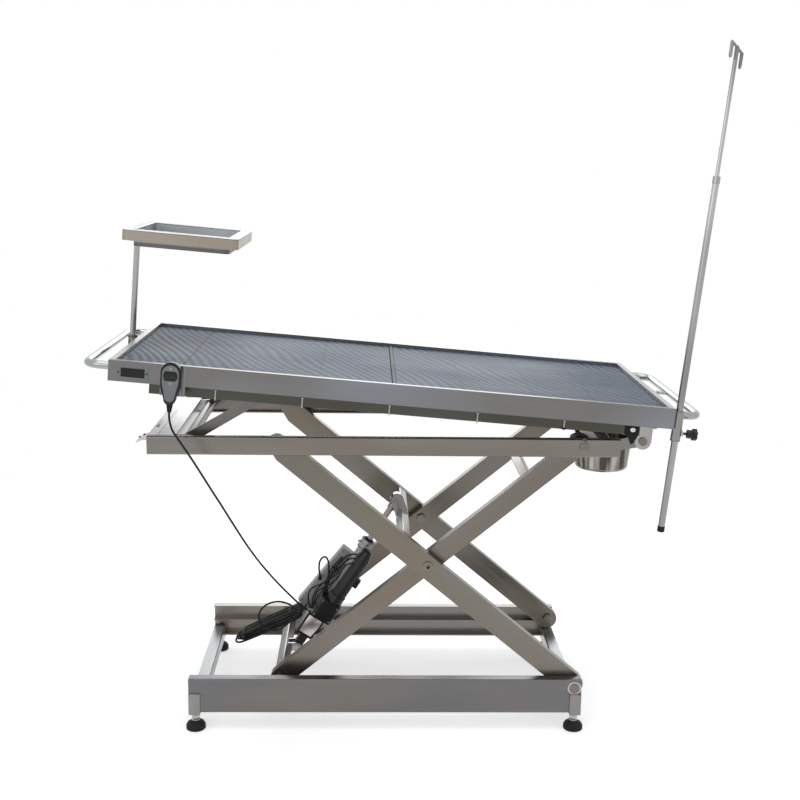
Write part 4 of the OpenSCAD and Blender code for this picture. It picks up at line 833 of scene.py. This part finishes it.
def tube_welds(x, z, y):
    """Welds round both ends of a square cross tube, just inside its edges, in the arms' own place."""
    ring, half = [], 12.2
    for s in (-1, 1):
        corners = [(x - half, s * y, z - half), (x + half, s * y, z - half), (x + half, s * y, z + half),
                   (x - half, s * y, z + half)]
        ring += list(zip(corners, corners[1:] + corners[:1]))
    return beads(*ring)


def arm_details():
    new_piece("outer_tube_welds", tube_welds(-86, 12, 199.2), weld_metal, "outer_arms", OUTER_ARMS)
    inner = together(tube_welds(318, 0, 169.2), tube_welds(-470, 0, 169.2))
    new_piece("inner_tube_welds", inner, weld_metal, "inner_arms", INNER_ARMS)
    # Painted shade of the middle bolts' sockets: black discs in the bright heads
    socket = turned([(0, 0), (4.4, 0), (4.4, 0.4), (0, 0.4)], 6)
    places = [OUTER_ARMS @ facing((0, s, 0), 0, s * 230.9, 0) for s in (-1, 1)]
    new_piece("middle_bolt_socket_shade", gather((socket, *places)), black_trim, "outer_arms")


# Upper frame and hinge


def upper_details():
    pad = plate(round_rect(-4, 4, -42, 42, 3.9), 1.6)
    new_piece("rest_pad", pad, stud_steel, "upper_frame",
              UPPER @ at_mm(-560.5, -100, 21.9) @ Matrix.Rotation(-math.pi / 2, 4, "X"))
    # Painted shadow: a black strip along the step in the cross plate, where the step's shadow line falls.
    step_shadow = bar((-546.6, -226, 20.3), (-545.1, 226, 21.7), 0.3)
    new_piece("step_shadow_strip", step_shadow, black_trim, "upper_frame", UPPER)
    screws = gather((screw_head(3.6, 2.6), facing((-0.32, 0, 0.95), -578.7, -208, 17.4),
                     facing((-0.68, 0, 0.73), -589.5, -208, 11.4)))
    new_piece("latch_screws", screws, black_trim, "upper_frame", UPPER)
    bolt_place = facing(FRONT, 463.7, -UPPER_HALF_W_MM, 14.8)
    bolt = gather((screw_head(6.5, 3.4), bolt_place),
                  (turned([(3, 0), (8.2, 0), (8.2, 1.0), (3, 1.0)], 28, True), bolt_place))
    new_piece("rail_bolt", bolt, bolt_steel, "upper_frame", UPPER)
    welds = beads(((-568, -228.2, 21), (-505, -228.2, 20.5)), ((-568, 228.2, 21), (-505, 228.2, 20.5)),
                  ((500, -228.3, 22), (530, -228.3, 22)), ((500, 228.3, 22), (530, 228.3, 22)))
    new_piece("plate_welds", welds, weld_metal, "upper_frame", UPPER)
    rim = gather((hoop(81.6, 2.8, 64), at_mm(556, 0, -32.6)), (hoop(66.6, 1.8, 64), at_mm(556, 0, -101.5)))
    new_piece("bucket_beads", rim, handle_steel, "bucket", UPPER)


def hinge_details():
    # Painted shadow: a black sheet at the channel's front where the hinge's shade falls, with a bright bolt head
    # before it.
    shadow_outline = [(-56, 42), (-56, 22), (-47, 16), (-38, -2), (-31, 4), (-23, 22), (-23, 42)]
    black = gather((plate(shadow_outline, 2.0), at_mm(0, CHANNEL_FRONT_MM, 0)))
    new_piece("hinge_shadow_sheet", black, black_trim, "tabletop", TOP)
    boss = gather((plate(oval(-38, 35, 6.6, 5.6), 4.0, None, 1.2), at_mm(0, CHANNEL_FRONT_MM - 1.9, 0)))
    new_piece("hinge_bolt_head", boss, bright_bolt, "tabletop", TOP)
    welds = beads(*[((-20, s * y, 40), (20, s * y, 40)) for y in (225, 233.2) for s in (-1, 1)])
    new_piece("lug_welds", welds, weld_metal, "tabletop", TOP)


# Tabletop


def tabletop_details():
    stud = gather((turned([(0, 19), (1.4, 19), (1.7, 20), (1.7, 43), (0, 43)], 14),
                   at_mm(0, CHANNEL_FRONT_MM - 2.4, 0)), (hex_nut(6, 2.6), at_mm(0, CHANNEL_FRONT_MM - 2.6, 41)))
    xs = (-1013, -812.5, -610, -404, -200)
    new_piece("subframe_studs", gather((stud, *[at_mm(x, 0, 0) for x in xs])), stud_steel, "tabletop", TOP)
    ring = turned([(3.2, 0), (5.4, 0), (5.4, 2.2), (3.2, 2.2)], 20, True)
    new_piece("stud_collar", ring, black_trim, "tabletop", TOP @ at_mm(xs[-1], CHANNEL_FRONT_MM - 2.4, 22))
    plugs = gather((bar((-1166, CHANNEL_FRONT_MM + 0.4, 21.4), (-1156, -241, 48), 1.5), UNMOVED,
                    Matrix.Diagonal((1, -1, 1, 1))))
    new_piece("channel_plugs", plugs, black_trim, "tabletop", TOP)
    middle = TOP_LEFT_MM + 56
    window = round_rect(middle - 27, middle + 27, 63.5, 84.5, 2)
    bezel = plate(round_rect(middle - 37, middle + 36, 57, 91, 4), 1.4, window)
    new_piece("display_bezel", bezel, key_plastic, "tabletop", TOP @ at_mm(0, TOP_FRONT_MM + 0.1, 0))
    places = [facing(FRONT, middle + dx, TOP_FRONT_MM - 1.3, 74) for dx in (-32.5, 31.5)]
    new_piece("bezel_screws", gather((screw_head(2.0, 1.0), *places)), black_trim, "tabletop", TOP)
    end = TOP_LEFT_MM - 0.6
    welds = beads(*[((end, y, 57), (end, y, 93)) for y in (POST_Y_MM - 8.5, POST_Y_MM + 8.5)])
    new_piece("socket_welds", welds, weld_metal, "tabletop", TOP)
    collar = turned([(7.7, 94), (12.2, 94), (12.8, 95), (12.8, 100), (12, 101), (7.7, 101)], 32, True)
    clamp = gather((collar, at_mm(POST_X_MM, POST_Y_MM, 0)),
                   (screw_head(3.2, 3.0), facing(FRONT, POST_X_MM, POST_Y_MM - 12.4, 97.5)))
    new_piece("post_collar", clamp, bolt_steel, "post", TOP)


# Handset on its holder


def hand_outline(wide, narrow, top, foot):
    """The face's outline, round above and narrower below."""
    upper = [(wide * math.cos(math.radians(a)), top + wide * math.sin(math.radians(a))) for a in range(0, 181, 12)]
    lower = [(narrow * math.cos(math.radians(a)), foot + narrow * math.sin(math.radians(a)))
             for a in range(180, 361, 15)]
    return upper + [(-wide, top - 22), *lower, (wide, top - 22)]


def handset_details():
    key = [(-15.5, 14), (-12, 7.4), (12, 7.4), (15.5, 14), (15.5, 22), (12, 28.6), (-12, 28.6), (-15.5, 22)]
    face = plate(hand_outline(18.6, 11.2, 24, -30), 0.7, key, 0.25)
    new_piece("handset_face", face, key_plastic, "handset", HANDSET @ at_mm(0, -21.95, 0))
    inner = [(x * 0.9, 18 + (z - 18) * 0.86) for x, z in key]
    ring = plate(key, 1.3, inner, 0.3)
    new_piece("key_surround", ring, black_trim, "handset", HANDSET @ at_mm(0, -21.9, 0))
    arrows = together(plate([(-3.4, 33), (3.4, 33), (0, 38)], 0.3, None, 0.08),
                      plate([(-3.4, 2.6), (0, -2.4), (3.4, 2.6)], 0.3, None, 0.08))
    new_piece("arrow_marks", arrows, mark_plastic, "handset", HANDSET @ at_mm(0, -22.6, 0))
    # Ridges of the rubber boot, narrower towards the cord
    ridges = [(7.2, -44.0)]
    for i in range(7):
        radius = 7.1 - 0.48 * i
        ridges += [(radius + 0.9, -45.4 - 3 * i), (radius + 0.9, -47.0 - 3 * i), (radius + 0.1, -47.4 - 3 * i)]
    boot = turned([(0, -44.0), *ridges, (3.2, -67.2), (0, -67.2)], 24)
    new_piece("handset_boot", boot, black_rubber, "handset", HANDSET @ at_mm(0, -11, 0))
    seam = together(bar((22.1, -12.4, -14), (22.9, -11.8, 26), 0.2), bar((-22.9, -12.4, -14), (-22.1, -11.8, 26), 0.2))
    new_piece("handset_seam", seam, black_trim, "handset", HANDSET)


# Actuator, in its own place with Z along its rod


def actuator_details():
    # The motor's axis, beside the tube's
    motor = (9, -35)
    rings = gather((hoop(19.3, 1.6), at_mm(*motor, 192)), (hoop(19.3, 1.2), at_mm(*motor, 301)),
                   (hoop(17.2, 1.2), at_mm(*motor, 311)), (hoop(21.2, 1.4), at_mm(*motor, 187.4)),
                   (hoop(18.2, 1.6), at_mm(0, 0, 321), at_mm(0, 0, 345.5)),
                   (turned([(0, 328), (11, 328), (11.6, 329), (10.6, 331.4), (0, 332)], 32), at_mm(*motor, 0)))
    new_piece("motor_rings", rings, black_plastic, "actuator", ACTUATOR)
    ribs = []
    for angle in range(0, 360, 20):
        x = motor[0] + 19.1 * math.cos(math.radians(angle))
        y = motor[1] + 19.1 * math.sin(math.radians(angle))
        ribs.append(bar((x - 0.6, y - 0.6, 196), (x + 0.6, y + 0.6, 222), 0.3))
    new_piece("motor_ribs", together(*ribs), gear_plastic, "actuator", ACTUATOR)
    wiper = turned([(8.6, 346), (13, 346), (13, 349), (12, 350.4), (8.8, 350.8)], 32, True)
    new_piece("rod_wiper", wiper, black_rubber, "actuator", ACTUATOR)
    above = [at_mm(x, y, 165.8) for x, y in ((-20, -51), (27, -51), (27, -20), (-18, 17), (16, 17))]
    before = [facing(FRONT, x, -56.9, z) for x, z in ((-19, 117), (25, 117), (-19, 159), (25, 159))]
    screws = gather((screw_head(3.0, 2.2), *above), (screw_head(2.6, 1.8), *before))
    new_piece("housing_screws", screws, bolt_steel, "actuator", ACTUATOR)
    outer = [(-25.8, 101), (-25.8, 41), (17, 41), (21.8, 74), (21.8, 101)]
    inner = [(-22, 97), (-22, 45), (13.6, 45), (18, 75), (18, 97)]
    cover = ACTUATOR @ at_mm(0, -23.9, 0)
    new_piece("cover_frame", plate(outer, 3.2, inner, 0.5), black_trim, "actuator", cover)
    new_piece("cover_plate", plate(inner, 1.8), cover_steel, "actuator", cover)
    seam = together(bar((-26.5, -57.5, 136), (32.5, -24.5, 137.4), 0.3),
                    bar((-26.5, -24.4, 136), (22.5, 24.5, 137.4), 0.3))
    new_piece("housing_seam", seam, black_trim, "actuator", ACTUATOR)


def box_details():
    lid = plate(round_rect(1.6, 42.4, 1.6, 188.4, 4.5), 1.8, None, 0.6)
    new_piece("box_lid", lid, box_plastic, "actuator", BOX)
    screws = [facing(FRONT, x, -1.7, z) for x in (7, 37) for z in (9, 95, 181)]
    new_piece("lid_screws", gather((screw_head(2.2, 1.2), *screws)), bolt_steel, "actuator", BOX)
    new_piece("box_end_cap", bar((4, 3, -1.4), (40, 31, 0.4)), black_trim, "actuator", BOX)
    gland = turned([(0, 0), (5.4, 0), (5.4, 3), (4.2, 4.4), (3.4, 7), (0, 7)], 20)
    new_piece("lead_gland", gland, black_trim, "actuator", ACTUATOR @ facing(FRONT, -46, 25.9, 180))


WIRES_MM = (
    [(-22, 24.6, 272), (-22, 18, 270), (-25, 14, 258), (-29, 12, 236), (-30, 10, 212), (-27, 4, 190), (-23, -2, 176),
     (-22, -4, 165.5)],
    [(-14, 24.6, 266), (-14, 19, 263), (-18, 16, 248), (-23, 15, 226), (-25, 13, 204), (-22, 10, 184),
     (-20, 8, 165.5)],
    [(-30, 24.6, 262), (-30, 19, 259), (-34, 15, 244), (-36, 11, 222), (-34, 4, 200), (-29, -6, 182),
     (-24, -10, 165.5)],
    [(-8, -30, 305), (-16, -33, 303), (-26, -33, 294), (-33, -28, 276), (-35, -22, 254), (-31, -20, 232),
     (-33, -19, 208), (-40, -20, 186), (-44, -22, 164), (-41, -26, 142), (-33, -26, 128), (-27, -25, 122)],
    [(-8, -38, 296), (-17, -42, 292), (-25, -41, 280), (-28, -36, 262), (-25, -33, 240), (-30, -31, 216),
     (-38, -30, 194), (-50, -27, 176), (-57, -22, 156), (-52, -20, 136), (-40, -20, 122), (-27, -19, 114)],
    [(-6, -46, 284), (-14, -49, 281), (-21, -48, 268), (-21, -44, 250), (-19, -42, 228), (-24, -41, 206),
     (-33, -38, 188), (-41, -35, 168), (-39, -34, 150), (-32, -33, 138), (-27, -32, 132)])
LOOSE_LOOP_MM = [
    (-203, -52, 252), (-214, -54, 240), (-232, -57, 240), (-252, -59, 255), (-278, -60, 261), (-304, -59, 254),
    (-323, -58, 236), (-328, -57, 213), (-318, -57, 193), (-299, -58, 182), (-277, -59, 184), (-256, -58, 197),
    (-238, -56, 214), (-222, -54, 231), (-208, -52, 242)]


def harness():
    for number, route in enumerate(WIRES_MM, 1):
        laid_cord(f"harness_wire_{number}", smooth_route(route, ACTUATOR), WIRE, "actuator")
    laid_cord("loose_loop", smooth_route(LOOSE_LOOP_MM), CORD, "actuator")
    band = [(x, y, 229) for x, y in oval(-29.6, 12.6, 9.4, 4.6, 32)]
    loop_of_wire("harness_tie", band, 0.0022, black_trim, "actuator", ACTUATOR)
    # Ties round the actuator's tube and its collar, each with its lock
    ties = gather((turned([(14.7, 0), (15.7, 0), (15.7, 3.6), (14.7, 3.6)], 40, True), at_mm(0, 0, 262)),
                  (turned([(18.2, 0), (19.2, 0), (19.2, 3.6), (18.2, 3.6)], 40, True), at_mm(0, 0, 329)),
                  (bar((-19.5, -4, 261.2), (-14.4, 2, 266.4), 0.5), UNMOVED),
                  (bar((-23.4, -4, 328.2), (-18, 2, 333.4), 0.5), UNMOVED))
    new_piece("tube_ties", ties, nylon, "actuator", ACTUATOR)
    for name, along, half in (("hank_tie", 62, 13.9), ("hank_tie_far", -74, 10.6)):
        band = [(along, y, w) for y, w in round_rect(20.4 - 30.6, 20.4 + 30.6, -half, half, 9, 6)]
        loop_of_wire(name, band, 0.003, black_trim, "actuator", HANK)


# Drip stand and instrument tray


def stand_details():
    ferrule = turned([(8.05, 614), (9.0, 614.6), (9.0, 629), (8.4, 630.6), (5.3, 630.8), (5.3, 630.1), (8.05, 630.05)],
                     32, True)
    new_piece("stand_ferrule", ferrule, handle_steel, "stand", STAND)
    cap = turned([(0, -200), (6.4, -200), (8.7, -198.6), (8.7, -186), (8.1, -185.4), (0, -185.4)], 32)
    new_piece("stand_cap", cap, black_rubber, "stand", STAND)
    # Weld lines round the holder, cut off where it meets the tabletop
    lines = gather((hoop(11.6, 1.0), at_mm(0, 0, 24), at_mm(0, 0, 92)))
    bmesh.ops.bisect_plane(lines, geom=lines.verts[:] + lines.edges[:] + lines.faces[:], plane_co=(-0.0113, 0, 0),
                           plane_no=(-1, 0, 0), clear_outer=True)
    bmesh.ops.holes_fill(lines, edges=[e for e in lines.edges if e.is_boundary], sides=0)
    new_piece("holder_beads", lines, weld_metal, "tabletop", STAND)
    seat = turned([(0, 10.6), (7.4, 10.6), (7.4, 14.5), (6.6, 15.4), (0, 15.4)], 24)
    new_piece("knob_seat", seat, stud_steel, "tabletop", STAND @ facing((1, 0, 0), 0, 0, KNOB_Z_MM))


def tray_details():
    x0, y0, top = POST_X_MM - 15, POST_Y_MM - 130, TRAY_UP_MM + TRAY_H_MM + 0.3 + 1.5
    x1, y1 = x0 + TRAY_X_MM, y0 + TRAY_Y_MM
    rim = [(x, y, top) for x, y in round_rect(x0 + 25, x1 - 25, y0 + 25, y1 - 25, 16, 6)]
    loop_of_wire("dish_rim", rim, 0.003, dish_steel, "dish", TOP)
    edge = [(x, y, top - 0.4) for x, y in round_rect(x0 + 1.2, x1 - 1.2, y0 + 1.2, y1 - 1.2, 13, 6)]
    loop_of_wire("dish_edge", edge, 0.0022, dish_steel, "dish", TOP)
    nut = gather((hex_nut(14, 5), at_mm(POST_X_MM, POST_Y_MM, TRAY_UP_MM + 16)))
    new_piece("tray_nut", nut, bolt_steel, "tray", TOP)


feet()
ribbed_mat()
base_details()
arm_details()
upper_details()
hinge_details()
tabletop_details()
handset_details()
actuator_details()
box_details()
harness()
stand_details()
tray_details()


# Studio


def seen_itself(tree):
    """1 where the camera sees a surface, straight or in metal and glass, and 0 where it lights the table."""
    path = add(tree, "ShaderNodeLightPath")
    seen = math_node(tree, "ADD", path.outputs["Is Camera Ray"], path.outputs["Is Glossy Ray"], True)
    return math_node(tree, "ADD", seen, path.outputs["Is Transmission Ray"], True)


def white_surround():
    world = bpy.data.worlds.new("studio")
    bpy.context.scene.world = world
    world.use_nodes = True
    tree = world.node_tree
    tree.nodes.clear()
    lit = add(tree, "ShaderNodeBackground")
    lit.inputs[0].default_value = (0.96, 0.98, 1, 1)
    lit.inputs[1].default_value = 0.5
    white = add(tree, "ShaderNodeBackground")
    white.inputs[0].default_value = (1, 1, 1, 1)
    white.inputs[1].default_value = 1.0
    choice = add(tree, "ShaderNodeMixShader")
    output = add(tree, "ShaderNodeOutputWorld")
    tree.links.new(seen_itself(tree), choice.inputs[0])
    tree.links.new(lit.outputs[0], choice.inputs[1])
    tree.links.new(white.outputs[0], choice.inputs[2])
    tree.links.new(choice.outputs[0], output.inputs[0])


def floor_finish():
    """Pale floor. Near the table it is lit and holds the shadow, and further out it is as white as the surround."""
    material, tree, shader, place = finish_of("pale floor")
    set_values(shader, (0.9, 0.9, 0.9), Roughness=0.8)
    seen = seen_itself(tree)
    reach = add(tree, "ShaderNodeVectorMath", operation="LENGTH")
    tree.links.new(place, reach.inputs[0])
    away = spread(tree, reach.outputs["Value"], 1.0, 2.6)
    glow = add(tree, "ShaderNodeEmission")
    glow.inputs["Strength"].default_value = 0.5
    bright = add(tree, "ShaderNodeEmission")
    bright.inputs["Strength"].default_value = 1.0
    near, both = add(tree, "ShaderNodeAddShader"), add(tree, "ShaderNodeMixShader")
    lifted = add(tree, "ShaderNodeMixShader")
    tree.links.new(shader.outputs[0], near.inputs[0])
    tree.links.new(glow.outputs[0], near.inputs[1])
    tree.links.new(seen, lifted.inputs[0])
    tree.links.new(shader.outputs[0], lifted.inputs[1])
    tree.links.new(near.outputs[0], lifted.inputs[2])
    tree.links.new(math_node(tree, "MULTIPLY", seen, away), both.inputs[0])
    tree.links.new(lifted.outputs[0], both.inputs[1])
    tree.links.new(bright.outputs[0], both.inputs[2])
    tree.links.new(both.outputs[0], tree.nodes["Material Output"].inputs[0])
    return material


def pale_floor():
    floor_bm = bmesh.new()
    bmesh.ops.create_grid(floor_bm, x_segments=1, y_segments=1, size=14)
    mesh = bpy.data.meshes.new("studio_floor")
    floor_bm.to_mesh(mesh)
    floor_bm.free()
    mesh.materials.append(floor_finish())
    floor = bpy.data.objects.new("studio_floor", mesh)
    bpy.context.scene.collection.objects.link(floor)


def soft_lamps():
    for name, place, aim, size, power in (
            ("overhead softbox", (0.0, -0.2, 3.4), (0, 0, 0.8), 3.0, 42),
            ("rear softbox", (0.0, 3.7, 2.1), (0, 0, 0.7), 2.4, 31),
            ("front softbox", (-2.2, -3.4, 2.4), (0, 0, 0.7), 2.4, 18)):
        lamp = bpy.data.lights.new(name, "AREA")
        lamp.size = size
        lamp.energy = power
        light = bpy.data.objects.new(name, lamp)
        way = Vector(aim) - Vector(place)
        light.matrix_world = Matrix.Translation(Vector(place)) @ way.to_track_quat("-Z", "Y").to_matrix().to_4x4()
        bpy.context.scene.collection.objects.link(light)


white_surround()
pale_floor()
soft_lamps()
bpy.context.scene.view_settings.view_transform = "Standard"
